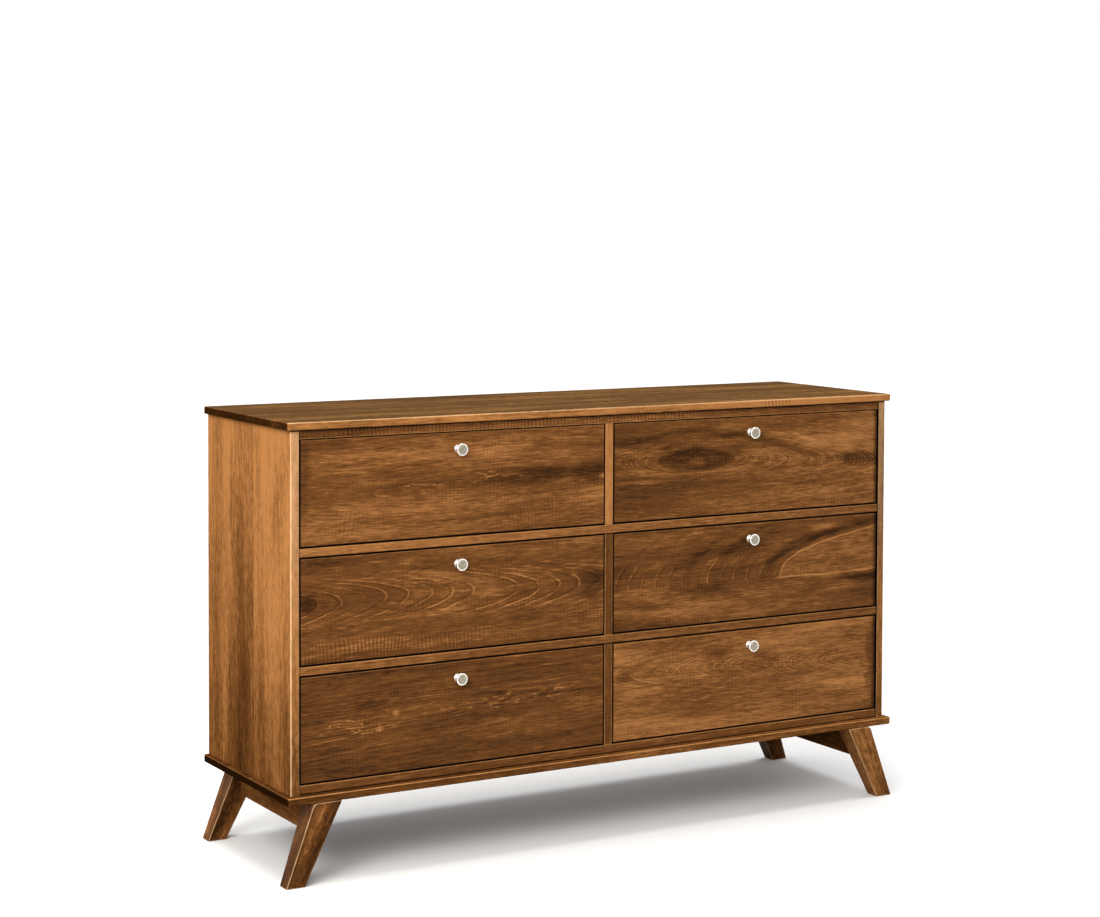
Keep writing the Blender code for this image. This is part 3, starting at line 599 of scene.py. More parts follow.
def growth(sketch, given, place, spot):
    """Distance from the log's heart, how fast it changes over the face, and how far aside it lies."""
    along, across, out = sketch.split(place)
    u = along - given["Heart along"]
    sway = sketch.noise(spot, *NOISES["sway"]) * 0.030
    v = across - given["Heart across"] - u * given["Lean"] + sway
    stretch = v.apply("SIGN") * given["Skew"] * -1.0 + 1.0
    v = (v * stretch).apply("ABSOLUTE")
    reach = (u * u + 0.0036).apply("SQRT")
    depth = given["Heart depth"] + out
    rise = u * given["Rise"] + (reach - 0.06) * given["Bow"]
    drift = sketch.noise(spot, *NOISES["drift"]) * given["Drift"] * 2.0
    radius = (v * v + depth * depth).apply("SQRT")
    slope = u / reach * given["Bow"] + given["Rise"]
    steep = v / radius * stretch
    pace = (slope * slope + steep * steep).apply("SQRT").apply("MAXIMUM", 0.015)
    return radius + rise + drift, pace, v / stretch


def zone(sketch, place, middle, size, inner=0.3):
    """Strength of one marked area: full in its middle, and nothing past its size."""
    lean = sketch.split(middle)[2]
    x, y, _ = sketch.split(sketch.combine("SUBTRACT", place, middle))
    long, wide, strength = sketch.split(size)
    y = (y - x * lean) / wide
    x = x / long
    return (x * x + y * y).apply("SQRT").fade(1.0, inner) * strength


def glued_strips(sketch, given, raw):
    """Give each glued-up strip of a board its own piece of the log and its own tone."""
    across = sketch.split(raw["Place"])[1]
    strip = across * 0.0
    tone = strip
    for joint in ("1", "2", "3"):
        past = across.apply("GREATER_THAN", given["Joint " + joint])
        strip = strip + past
        tone = tone + past * given["Step " + joint]
    draw = sketch.node("ShaderNodeTexWhiteNoise", {"W": strip + given["Seed"]}, noise_dimensions="1D")
    split = sketch.node("ShaderNodeSeparateColor", {0: draw.outputs["Color"]})
    chance = [Number(sketch, socket) for socket in split.outputs]
    moved = strip.apply("MINIMUM", 1.0)
    shift = sketch.vector(moved * (chance[0] - 0.5) * 1.6, moved * (chance[1] - 0.5) * 0.16,
                          moved * chance[2] * 0.02)
    return sketch.combine("ADD", raw["Place"], shift), tone


def maple_group():
    """Stained maple as a solid: growth rings about a heart line, clouds, fibres, mottle and ripple."""
    name = "stained_maple"
    if name in bpy.data.node_groups:
        return bpy.data.node_groups[name]
    inputs = {"Place": "NodeSocketVector", "End grain": "NodeSocketFloat", "Worn": "NodeSocketFloat",
              "Gap": "NodeSocketFloat"}
    inputs.update({socket: "NodeSocketFloat" for socket in MAPLE})
    inputs.update({area + part: "NodeSocketVector" for area in ZONES for part in (" at", " size")})
    inputs.update({colour: "NodeSocketColor" for colour in ("Dark", "Middle", "Light", "Rubbed")})
    outputs = {"Colour": "NodeSocketColor", "Roughness": "NodeSocketFloat",
               "Height": "NodeSocketFloat"}
    sketch, raw = group_tree(name, inputs, outputs)
    given = {key: Number(sketch, socket) for key, socket in raw.items()}

    place, strip_tone = glued_strips(sketch, given, raw)
    seeds = sketch.vector(given["Seed"] * 1.73, given["Seed"] * 0.91, given["Seed"] * 2.37)
    spot = sketch.combine("ADD", place, seeds)
    wander = sketch.node("ShaderNodeTexNoise", {"Vector": spot, "Scale": 16.0, "Detail": 2.0})
    wander = sketch.combine("SUBTRACT", wander.outputs["Color"], (0.5, 0.5, 0.5))
    wander = sketch.combine("MULTIPLY", wander, (0.060, 0.018, 0.0))
    marked = sketch.combine("ADD", raw["Place"], wander)

    def area(label, inner=0.3):
        return zone(sketch, marked, raw[label + " at"], raw[label + " size"], inner)

    # The log's heart: the tone inside its innermost ring, that ring's rim, and one broad band
    radius, pace, aside = growth(sketch, given, place, spot)
    radius = radius + sketch.noise(spot, *NOISES["waver"]) * pace * 0.0060
    past_eye = (radius - given["Eye radius"]) / pace
    eye = past_eye.fade(0.004, -0.004)
    rim = past_eye.apply("ABSOLUTE").fade(0.0024, 0.0006) * given["Eye line"]
    band = (radius - given["Band radius"]) / pace * 120.0
    upper = sketch.split(place)[1].fade(-0.01, 0.02)
    band = (band * band * -1.0).apply("EXPONENT") * upper * given["Band tone"]

    # Growth rings, as soft bands and as pale lines with a dark side
    ring = radius / given["Ring width"] + given["Seed"] * 3.7
    bands = sketch.noise_along(ring, scale=0.7, detail=4.0, roughness=0.72)
    year = sketch.noise_along((ring + 0.5).apply("FLOOR"), scale=3.1, detail=0.0).fade(-0.24, 0.08)
    away = ring.apply("PINGPONG", 0.5) * given["Ring width"] / pace
    whole = sketch.noise(spot, *NOISES["breaks"]).fade(-0.14, 0.06)
    calm = eye * -0.75 + 1.0
    thin = away.fade(0.0022, 0.0006) * whole * calm
    shadow = (ring + 0.16).apply("PINGPONG", 0.5) * given["Ring width"] / pace
    close = (aside / given["Line reach"]).fade(1.0, 0.5)
    lines = (thin - shadow.fade(0.0030, 0.0006) * 0.35) * year * close

    # How unevenly the stain took, and the fibres
    clouds = sketch.noise(spot, *NOISES["clouds"])
    mottle = sketch.noise(spot, *NOISES["mottle"])
    elsewhere = sketch.combine("ADD", spot, FIBRES_APART)
    fibres = sketch.noise(spot, *NOISES["fibres"]) + sketch.noise(elsewhere, *NOISES["bundles"]) * 0.4
    fibres = fibres + sketch.noise(elsewhere, *NOISES["flecks"]) * 0.45
    weave = sketch.noise(spot, *NOISES["weave"])

    # Curly ripple across the grain, and thin wandering lines
    curly = sketch.noise(spot, *NOISES["curl"]).fade(-0.12, 0.16) * given["Ripples"]
    bends = sketch.noise(spot, *NOISES["ripple bends"]) * 20.0
    ripple = (sketch.split(spot)[0] * 700.0 + bends).apply("SINE")
    ripple = ripple * sketch.noise(spot, *NOISES["ripple breaks"]).fade(-0.25, 0.15)
    ripple = ripple * (curly + area("Ripple", 0.4))
    wiggle = sketch.noise(spot, *NOISES["squiggles"]).apply("ABSOLUTE")
    squiggles = wiggle.fade(0.018, 0.003) * (area("Squiggle 1", 0.5) + area("Squiggle 2", 0.5))

    tone = bands * calm * given["Rings"] + clouds * given["Clouds"] + fibres * given["Streaks"]
    tone = tone + mottle * given["Mottle"] + weave * given["Weave"] + ripple + squiggles
    tone = tone + lines * given["Lines"] + eye * given["Eye tone"] + rim + band + strip_tone
    tone = tone - given["End grain"] * given["End shade"]
    for patch in PATCHES:
        tone = tone + area(patch)
    tone = tone + sketch.split(raw["Place"])[0] * given["Fade"] + given["Shade"] + 0.5

    colour = sketch.mix(tone.fade(0.0, 0.5, "LINEAR"), raw["Dark"], raw["Middle"])
    colour = sketch.mix(tone.fade(0.5, 1.0, "LINEAR"), colour, raw["Light"])
    # Edges take wear with a painted highlight, then painted shade in gaps and soaked end grain go near
    # black
    rubbed = given["Worn"] * (clouds + fibres * 0.7 + mottle + 0.92)
    rubbed = rubbed.apply("MULTIPLY", 1.0, clamp=True)
    colour = sketch.mix(rubbed, colour, raw["Rubbed"])
    colour = sketch.mix(given["Gap"], colour, rgba(SHADE_AND_SOAK_COLOUR))
    rough = (fibres * 0.12 + clouds * 0.10 + 0.42).apply("MAXIMUM", given["Gap"])
    height = fibres * 0.5 - thin * 0.2 + ripple * 0.3
    sketch.node("NodeGroupOutput", {"Colour": colour, "Roughness": rough, "Height": height})
    return sketch.tree


def edge_group():
    """How near a point of a rectangular board lies to one of its edges."""
    name = "board_edge"
    if name in bpy.data.node_groups:
        return bpy.data.node_groups[name]
    inputs = {"Place": "NodeSocketVector", "Centre": "NodeSocketVector",
              "Half size": "NodeSocketVector", "Width": "NodeSocketFloat"}
    sketch, raw = group_tree(name, inputs, {"Edge": "NodeSocketFloat"})
    away = sketch.combine("ABSOLUTE", sketch.combine("SUBTRACT", raw["Place"], raw["Centre"]))
    x, y, z = sketch.split(sketch.combine("SUBTRACT", raw["Half size"], away))
    least = x.apply("MINIMUM", y).apply("MINIMUM", z)
    most = x.apply("MAXIMUM", y).apply("MAXIMUM", z)
    second = x + y + z - least - most
    edge = (second / raw["Width"]).fade(1.0, 0.0)
    sketch.node("NodeGroupOutput", {"Edge": edge})
    return sketch.tree


Board = namedtuple("Board", "centre half grain out")


def board_of(node, grain, out):
    """The box of a frame node with its grain and the way its show face looks."""
    low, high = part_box(node)
    return Board((low + high) / 2, (high - low) / 2, grain.normalized(), out.normalized())


def board_frame(board):
    """Turn and shift that put the grain on X, the width on Y and the show face's height on Z."""
    across = board.out.cross(board.grain).normalized()
    turn = Matrix((board.grain, across, board.out))
    face = board.centre + board.out * abs(board.half.dot(board.out))
    return turn.to_euler(), -(turn @ face)


def new_material(name):
    """Start a material and return it with its sketch and the node that tells where a point is."""
    material = bpy.data.materials.new(name)
    material.use_nodes = True
    tree = material.node_tree
    tree.nodes.clear()
    sketch = Sketch(tree)
    where = sketch.node("ShaderNodeTexCoord")
    return material, sketch, where


def finish_material(sketch, feeds, **constants):
    """Close a material with its shader. Constants are set on the shader's own sockets."""
    shader = sketch.node("ShaderNodeBsdfPrincipled", feeds)
    for socket, value in constants.items():
        shader.inputs[socket.replace("_", " ")].default_value = value
    sketch.node("ShaderNodeOutputMaterial", {"Surface": shader.outputs[0]})


def bump(sketch, height, strength, distance):
    """Turn a height into a shading normal."""
    feeds = {"Height": height, "Strength": strength, "Distance": distance}
    return sketch.node("ShaderNodeBump", feeds).outputs[0]


def placed(sketch, where, board):
    """The place of each point in the board's own frame."""
    turn, shift = board_frame(board)
    feeds = {"Vector": where.outputs["Object"], "Rotation": turn, "Location": shift}
    return sketch.node("ShaderNodeMapping", feeds).outputs[0]


def toward(sketch, where, direction):
    """How squarely the surface looks toward a direction, and below zero away from it."""
    feeds = {0: where.outputs["Normal"], 1: direction}
    node = sketch.node("ShaderNodeVectorMath", feeds, operation="DOT_PRODUCT")
    return Number(sketch, node.outputs["Value"])


def facing(sketch, where, direction):
    """How squarely the surface looks along a direction, either way."""
    return toward(sketch, where, direction).apply("ABSOLUTE")


def box_edge(sketch, where, board, width):
    """The edges of a rectangular board that carry wear and a painted highlight, from how near its
    box's edges lie.
    """
    feeds = {"Place": where.outputs["Object"], "Centre": board.centre, "Half size": board.half,
             "Width": width}
    return Number(sketch, sketch.node("ShaderNodeGroup", feeds, node_tree=edge_group()).outputs[0])


def high_strip(value, edge, strip):
    """Rise toward the higher edge of a board, over a strip along it."""
    return value.fade(edge - strip[0], edge - strip[1])


def low_strip(value, edge, strip):
    """Rise toward the lower edge of a board, over a strip along it."""
    return value.fade(strip[0] - edge, strip[1] - edge)


def slot_painted_shade(sketch, where, board, place):
    """Painted shade in the gaps round a front: the narrow faces of a board, below its show face."""
    deep = (sketch.split(place)[2] * -1.0).fade(PAINTED_SHADE_START, PAINTED_SHADE_DEEP)
    return deep * facing(sketch, where, board.out).fade(*SIDE_ON)


def under_painted_shade(sketch, where, board, place, narrow=RAIL_PAINTED_SHADE):
    """The same painted shade, and painted shade along the lower edge of the show face as well."""
    lower = low_strip(sketch.split(place)[1], board.half.z, UNDER_STRIP)
    return (slot_painted_shade(sketch, where, board, place) * narrow).apply("MAXIMUM", lower)


def front_painted_shade(sketch, where, board, place, left, right):
    """Painted shade round a drawer front, whose ends are dark down to a few millimetres behind the
    face.
    """
    near = high_strip(sketch.split(place)[2], 0.0, FACE_STRIP)
    ends = left.apply("MAXIMUM", right) * near
    return under_painted_shade(sketch, where, board, place, FRONT_PAINTED_SHADE).apply("MAXIMUM", ends)


def left_front_painted_shade(sketch, where, board, place):
    """Painted shade round a front in the left column."""
    along = sketch.split(place)[0]
    left = low_strip(along, board.half.x, OUTER_END_STRIP)
    right = high_strip(along, board.half.x, MIDDLE_END_STRIP)
    return front_painted_shade(sketch, where, board, place, left, right)


def right_front_painted_shade(sketch, where, board, place):
    """Painted shade round a front in the right column, whose right end lies in the painted shade of
    the side panel.
    """
    along = sketch.split(place)[0]
    left = low_strip(along, board.half.x, INNER_END_STRIP) * INNER_END_PAINTED_SHADE
    right = high_strip(along, board.half.x, END_SHADE_STRIP) * END_SHADE
    return front_painted_shade(sketch, where, board, place, left, right)


def soaked_ends(sketch, where, board, place):
    """End grain that drank the most stain."""
    return facing(sketch, where, board.grain).fade(*SQUARE_ON) * SOAKED


def stained_ends(sketch, where, board, place):
    """End grain that drank more stain than the flats."""
    return facing(sketch, where, board.grain).fade(*SQUARE_ON) * STAINED


def top_rail_painted_shade(sketch, where, board, place):
    """Painted shade round the top rail, with the painted shadow of the top board on it."""
    upper = high_strip(sketch.split(place)[1], board.half.z, TOP_SHADE_STRIP)
    return slot_painted_shade(sketch, where, board, place).apply("MAXIMUM", upper)


def panel_painted_shade(sketch, where, board, place):
    """Painted shade on a side panel's inner face next to its front edge, and the painted shadow of the
    top board.
    """
    along, across, out = sketch.split(place)
    thickness = 2 * abs(board.half.dot(board.out))
    near = high_strip(across * board.out.x, board.half.y, PANEL_FRONT_STRIP)
    near = near * low_strip(out, thickness, PANEL_INSIDE_STRIP)
    high = high_strip(along, board.half.z, TOP_SHADE_STRIP)
    return near.apply("MAXIMUM", high * toward(sketch, where, -Y).fade(0.3, 0.8))


def all_edges(sketch, where, board, place):
    """Every edge is rubbed and carries a painted highlight alike."""
    return 1.0


def upper_edge_wear_highlight(sketch, where, board, place):
    """Only the upper edge is rubbed and carries a painted highlight, where light from above falls."""
    return high_strip(sketch.split(place)[1], board.half.z, UPPER_WEAR_HIGHLIGHT_STRIP)


def lower_edge_wear_highlight(sketch, where, board, place):
    """Only the lower edge is rubbed and carries a painted highlight."""
    return low_strip(sketch.split(place)[1], board.half.z, LOWER_WEAR_HIGHLIGHT_STRIP)


def front_rim_wear_highlight(sketch, where, board, place):
    """Only the front edge's upper rim and its upright corners are rubbed and carry a painted
    highlight.
    """
    front = toward(sketch, where, -Y).fade(0.1, 0.5)
    return front * toward(sketch, where, Z).fade(0.1, 0.45)


def upper_rim_wear_highlight(sketch, where, board, place):
    """Only rims that look upward are rubbed and carry a painted highlight, and the front one most."""
    front = toward(sketch, where, -Y).fade(-0.1, 0.4) * 0.8 + 0.2
    return toward(sketch, where, Z).fade(0.0, 0.4) * front


def stained_maple(name, board, grain, worn, edge_width=0.0, edges=all_edges, shade_and_soak=None, painted_front_light=0.0,
                  rubbed="stain_rub_highlight", upper="stain", gloss=0.05):
    """Stained maple for one board. A modelled board stores its rubbed edges with their painted
    highlight, others use their box.
    """
    colours = bpy.context.scene.dresser_colours
    material, sketch, where = new_material(name)
    place = placed(sketch, where, board)
    if edge_width:
        edge = box_edge(sketch, where, board, edge_width)
    else:
        stored = sketch.node("ShaderNodeAttribute", attribute_name="worn")
        edge = Number(sketch, stored.outputs["Fac"])
    edge = edge * edges(sketch, where, board, place) * worn
    # A side panel's front edge is tinted toward the rub colour, more toward the top: painted light
    # falling from above
    if painted_front_light:
        high = sketch.split(place)[0].fade(-0.16, 0.38)
        edge = edge.apply("MAXIMUM", toward(sketch, where, -Y).fade(0.5, 0.9) * high * painted_front_light)
    feeds = {**MAPLE, "Place": place, "End grain": facing(sketch, where, board.grain).fade(*SQUARE_ON),
             "Worn": edge, "Gap": shade_and_soak(sketch, where, board, place) if shade_and_soak else 0.0,
             "Rubbed": rgba(getattr(colours, rubbed))}
    # Upward faces of the top board mix to greyer, darker colours: a painted sheen, and painted shade
    # against the light from above
    up = toward(sketch, where, Z).fade(*SQUARE_ON)
    for shade in ("dark", "middle", "light"):
        stain = rgba(getattr(colours, "stain_" + shade))
        if upper != "stain":
            stain = sketch.mix(up, stain, rgba(getattr(colours, upper + "_" + shade)))
        feeds[shade.capitalize()] = stain
    for area in ZONES:
        feeds[area + " at"], feeds[area + " size"] = grain.get(area, NO_ZONE)
    feeds.update({key: value for key, value in grain.items() if key not in ZONES})
    pattern = sketch.node("ShaderNodeGroup", feeds, node_tree=maple_group())
    normal = bump(sketch, pattern.outputs["Height"], 0.10, 0.0006)
    finish_material(sketch, {"Base Color": pattern.outputs["Colour"],
                             "Roughness": pattern.outputs["Roughness"], "Normal": normal},
                    Specular_IOR_Level=gloss)
    return material


def clear_maple(name, board, seed):
    """Unstained, lacquered maple of the drawer boxes."""
    colours = bpy.context.scene.dresser_colours
    material, sketch, where = new_material(name)
    place = placed(sketch, where, board)
    spot = sketch.combine("ADD", place, (seed * 1.31, seed * 0.57, seed * 0.83))
    drift = sketch.noise(spot, (3.0, 14.0, 14.0), detail=1.0)
    across = sketch.split(place)[1]
    rings = sketch.noise_along(across * 190.0 + drift * 14.0 + seed, detail=3.0, roughness=0.6)
    fibres = sketch.noise(spot, (18.0, 420.0, 420.0), detail=2.0, roughness=0.6)
    clouds = sketch.noise(spot, (4.0, 16.0, 16.0), detail=2.0)
    tone = rings * 1.3 + fibres * 0.6 + clouds * 0.9 + 0.5
    colour = sketch.mix(tone.fade(0.0, 1.0), rgba(colours.clear_dark), rgba(colours.clear_light))
    rough = fibres * 0.2 + 0.46
    normal = bump(sketch, fibres, 0.12, 0.0005)
    finish_material(sketch, {"Base Color": colour, "Roughness": rough, "Normal": normal},
                    Specular_IOR_Level=0.3)
    return material


def birch_ply(name, board, seed, plies):
    """Birch ply: a rotary-cut face, and thin plies in turn along its edges."""
    colours = bpy.context.scene.dresser_colours
    material, sketch, where = new_material(name)
    place = placed(sketch, where, board)
    spot = sketch.combine("ADD", place, (seed * 1.9, seed * 0.7, seed * 1.1))
    swirl = sketch.noise(spot, (1.6, 5.0, 0.0), detail=2.0, roughness=0.5)
    veins = sketch.noise_along(swirl * 26.0, detail=2.0, roughness=0.6)
    fibres = sketch.noise(spot, (14.0, 300.0, 300.0), detail=2.0, roughness=0.6)
    flecks = sketch.noise(spot, (60.0, 700.0, 700.0), detail=1.0).fade(0.10, 0.24)
    face = veins * 0.9 + fibres * 0.5 - flecks * 0.25 + 0.62
    out = sketch.split(place)[2]
    thickness = 2 * abs(board.half.dot(board.out))
    layer = (out * (-plies / thickness)).apply("FLOOR").apply("MODULO", 2.0)
    edge_on = facing(sketch, where, board.out).fade(0.7, 0.3)
    tone = face - layer * edge_on * 0.45
    colour = sketch.mix(tone.fade(0.0, 1.0), rgba(colours.ply_dark), rgba(colours.ply_light))
    rough = fibres * 0.2 + 0.56
    normal = bump(sketch, fibres, 0.15, 0.0005)
    finish_material(sketch, {"Base Color": colour, "Roughness": rough, "Normal": normal},
                    Specular_IOR_Level=0.3)
    return material


def satin_nickel(name, centre):
    """Satin nickel, brushed in rings about the knob's axis, which lies along Y."""
    colours = bpy.context.scene.dresser_colours
    material, sketch, where = new_material(name)
    away = sketch.combine("SUBTRACT", where.outputs["Object"], centre)
    x, y, z = sketch.split(away)
    radius = (x * x + z * z).apply("SQRT")
    brushing = sketch.noise_along(radius * 2600.0 + y * 1900.0, detail=2.0, roughness=0.7)
    smudges = sketch.noise(away, (160.0, 160.0, 160.0), detail=2.0)
    dish = (radius + smudges * 0.0016).fade(DULL_RADIUS + 0.0012, DULL_RADIUS - 0.0016)
    dish = dish * y.fade(KNOB_RIM - KNOB_OUT, KNOB_RIM * 0.6 - KNOB_OUT)
    colour = sketch.mix(dish * (smudges * 0.5 + brushing * 0.5 + 0.9), rgba(colours.nickel),
                        rgba(colours.nickel_dull))
    # Downward faces of the stem take painted shade, brown as a painted reflection of the wood
    stem = y.fade(KNOB_RIM - KNOB_OUT, KNOB_RIM - KNOB_OUT + 0.002)
    under = toward(sketch, where, Z).fade(0.35, -0.35) * stem
    colour = sketch.mix(under * 0.85, colour, rgba(colours.nickel_shade))
    rough = brushing * 0.10 + smudges * 0.08 + 0.27
    normal = bump(sketch, brushing, 0.25, 0.00008)
    finish_material(sketch, {"Base Color": colour, "Roughness": rough, "Normal": normal}, Metallic=1.0)
    return material


def deselect_all():
    """Leave nothing selected, because an operator acts on all that is selected."""
    for thing in bpy.context.view_layer.objects:
        thing.select_set(False)


def choose(piece):
    """Make one piece the only one selected, and the active one."""
    deselect_all()
    piece.select_set(True)
    bpy.context.view_layer.objects.active = piece


def apply_place(piece):
    """Put the object at the world's origin, unturned and unscaled, with its place in its mesh."""
    choose(piece)
    bpy.ops.object.transform_apply(location=True, rotation=True, scale=True)


def add_block(name, low, high):
    """Add a block between two corners."""
    deselect_all()
    bpy.ops.mesh.primitive_cube_add(size=1.0, location=(low + high) / 2, scale=high - low)
    block = bpy.context.object
    block.name = name
    block.data.name = name
    apply_place(block)
    return block


def select_in(piece, edges=None, faces=None, points=None):
    """Go into edit mode with what passes the test selected, and nothing else."""
    choose(piece)
    bpy.ops.object.mode_set(mode="EDIT")
    mode = "EDGE" if edges else "FACE" if faces else "VERT"
    bpy.ops.mesh.select_mode(type=mode)
    bpy.ops.mesh.select_all(action="DESELECT")
    bm = bmesh.from_edit_mesh(piece.data)
    if edges:
        for edge in bm.edges:
            first, second = (vertex.co for vertex in edge.verts)
            edge.select_set(edges(first, second))
    elif faces:
        for face in bm.faces:
            face.select_set(faces(face.calc_center_median(), face.normal))
    else:
        for vertex in bm.verts:
            vertex.select_set(points(vertex.co))
    bm.select_flush_mode()
    bmesh.update_edit_mesh(piece.data)


def leave_edit():
    """Go back to object mode."""
    bpy.ops.object.mode_set(mode="OBJECT")


def round_edges(piece, test, radius, segments):
    """Round the edges that pass the test."""
    select_in(piece, edges=test)
    bpy.ops.mesh.bevel(offset=radius, offset_type="OFFSET", segments=segments, profile=0.5,
                       affect="EDGES")
    leave_edit()


def move_points(piece, test, step):
    """Move the points that pass the test."""
    select_in(piece, points=test)
    bpy.ops.transform.translate(value=step)
    leave_edit()


def level(value, target):
    """Whether two heights or places are the same, to a twentieth of a millimetre."""
    return abs(value - target) < SAME_PLACE


def mark_wear_and_highlight(piece):
    """Store how rubbed each face corner is, with its painted highlight: 1 in the middle of a rounded
    edge, 0 on the flats.
    """
    mesh = piece.data
    flats = []
    for face in mesh.polygons:
        longest = max((mesh.vertices[a].co - mesh.vertices[b].co).length for a, b in face.edge_keys)
        if face.area / longest > FLAT_WIDTH:
            flats.append(face.normal.copy())
    values = []
    for normal in mesh.corner_normals:
        nearest = max(normal.vector.dot(flat) for flat in flats)
        values.append(min(1.0, max(0.0, (WEAR_HIGHLIGHT_START - nearest) / WEAR_HIGHLIGHT_SPAN)))
    worn = mesh.attributes.new("worn", "FLOAT", "CORNER")
    worn.data.foreach_set("value", values)


def smooth(piece):
    """Shade smooth across the rounds and keep the flats flat."""
    choose(piece)
    bpy.ops.object.shade_smooth_by_angle(angle=math.radians(BOARD_SMOOTH))
    weighted = piece.modifiers.new("flat faces", "WEIGHTED_NORMAL")
    weighted.keep_sharp = True
    bpy.ops.object.modifier_apply(modifier=weighted.name)


def hand_over(piece, node, body, material):
    """Let a finished piece stand for its frame node."""
    piece.data.materials.clear()
    piece.data.materials.append(material)
    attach(piece, body)
    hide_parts(node)


def dress(node, material):
    """Give a frame node a better material in each of its slots."""
    for place in frame["nodes"][node].material_slots:
        place.material = material


def rounded_board(name, low, high, corner, edge):
    """A board with round upright corners and eased rims."""
    board = add_block(name, low, high)
    round_edges(board, lambda a, b: abs(a.z - b.z) > (high.z - low.z) / 2, corner, CORNER_SEGMENTS)
    round_edges(board, lambda a, b: level(a.z, b.z) and (level(a.z, low.z) or level(a.z, high.z)),
                edge, RIM_SEGMENTS)
    smooth(board)
    mark_wear_and_highlight(board)
    return board


class DRESSER_OT_top_board(Operator):
    """Model the top board with its soft rims."""

    bl_idname = "dresser.top_board"
    bl_label = "Top board"
    bl_options = {"REGISTER", "UNDO"}

    def execute(self, context):
        """Make it."""
        sizes = context.scene.dresser_sizes
        low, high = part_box("top_board")
        board = rounded_board("top", low, high, sizes.top_corner, sizes.top_edge)
        finish = stained_maple("top_maple", board_of("top_board", X, Z), CASE_GRAIN["top_board"],
                               worn=0.50, edges=front_rim_wear_highlight, shade_and_soak=stained_ends, upper="top", gloss=0.0)
        hand_over(board, "top_board", "case", finish)
        return {"FINISHED"}


class DRESSER_OT_base_board(Operator):
    """Model the base board with its soft rims."""

    bl_idname = "dresser.base_board"
    bl_label = "Base board"
    bl_options = {"REGISTER", "UNDO"}

    def execute(self, context):
        """Make it."""
        sizes = context.scene.dresser_sizes
        low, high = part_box("base_board")
        board = rounded_board("base", low, high, sizes.base_corner, sizes.base_edge)
        finish = stained_maple("base_maple", board_of("base_board", X, Z), CASE_GRAIN["base_board"],
                               worn=0.7, edges=upper_rim_wear_highlight, shade_and_soak=soaked_ends, rubbed="stain_thin_highlight",
                               gloss=0.0)
        hand_over(board, "base_board", "case", finish)
        return {"FINISHED"}


class DRESSER_OT_side_panels(Operator):
    """Model the side panels, with a rabbet for the back."""

    bl_idname = "dresser.side_panels"
    bl_label = "Side panels"
    bl_options = {"REGISTER", "UNDO"}

    def execute(self, context):
        """Make it."""
        sizes = context.scene.dresser_sizes
        back_low, back_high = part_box("back_panel")
        for name, side in SIDES.items():
            node = name + "_side_panel"
            low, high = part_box(node)
            rabbet_y = back_low.y - SEAT_GAP
            rabbet_x = side * (back_high.x + SEAT_GAP)
            panel = add_block(name + "_side", low, Vector((high.x, rabbet_y, high.z)))
            select_in(panel, faces=lambda centre, normal: True)
            bpy.ops.mesh.bisect(plane_co=(rabbet_x, 0, 0), plane_no=(1, 0, 0))
            select_in(panel, faces=lambda centre, normal: normal.y > 0.5
                      and centre.x * side > abs(rabbet_x))
            step = {"value": (0, high.y - rabbet_y, 0)}
            bpy.ops.mesh.extrude_region_move(TRANSFORM_OT_translate=step)
            leave_edit()
            self.ease_front(panel, low, high, side, sizes)
            smooth(panel)
            mark_wear_and_highlight(panel)
            finish = stained_maple(name + "_side_maple", board_of(node, Z, X * side), CASE_GRAIN[node],
                                   worn=0.95, shade_and_soak=panel_painted_shade, painted_front_light=0.42, gloss=0.0)
            hand_over(panel, node, "case", finish)
        return {"FINISHED"}

    def ease_front(self, panel, low, high, side, sizes):
        """Round the two upright edges at the front."""
        outer = high.x if side > 0 else low.x
        inner = low.x if side > 0 else high.x
        for place, radius, segments in ((outer, sizes.panel_outer, CORNER_SEGMENTS),
                                        (inner, sizes.panel_inner, RIM_SEGMENTS)):
            round_edges(panel, lambda a, b: level(a.y, low.y) and level(b.y, low.y)
                        and level(a.x, place) and level(b.x, place), radius, segments)


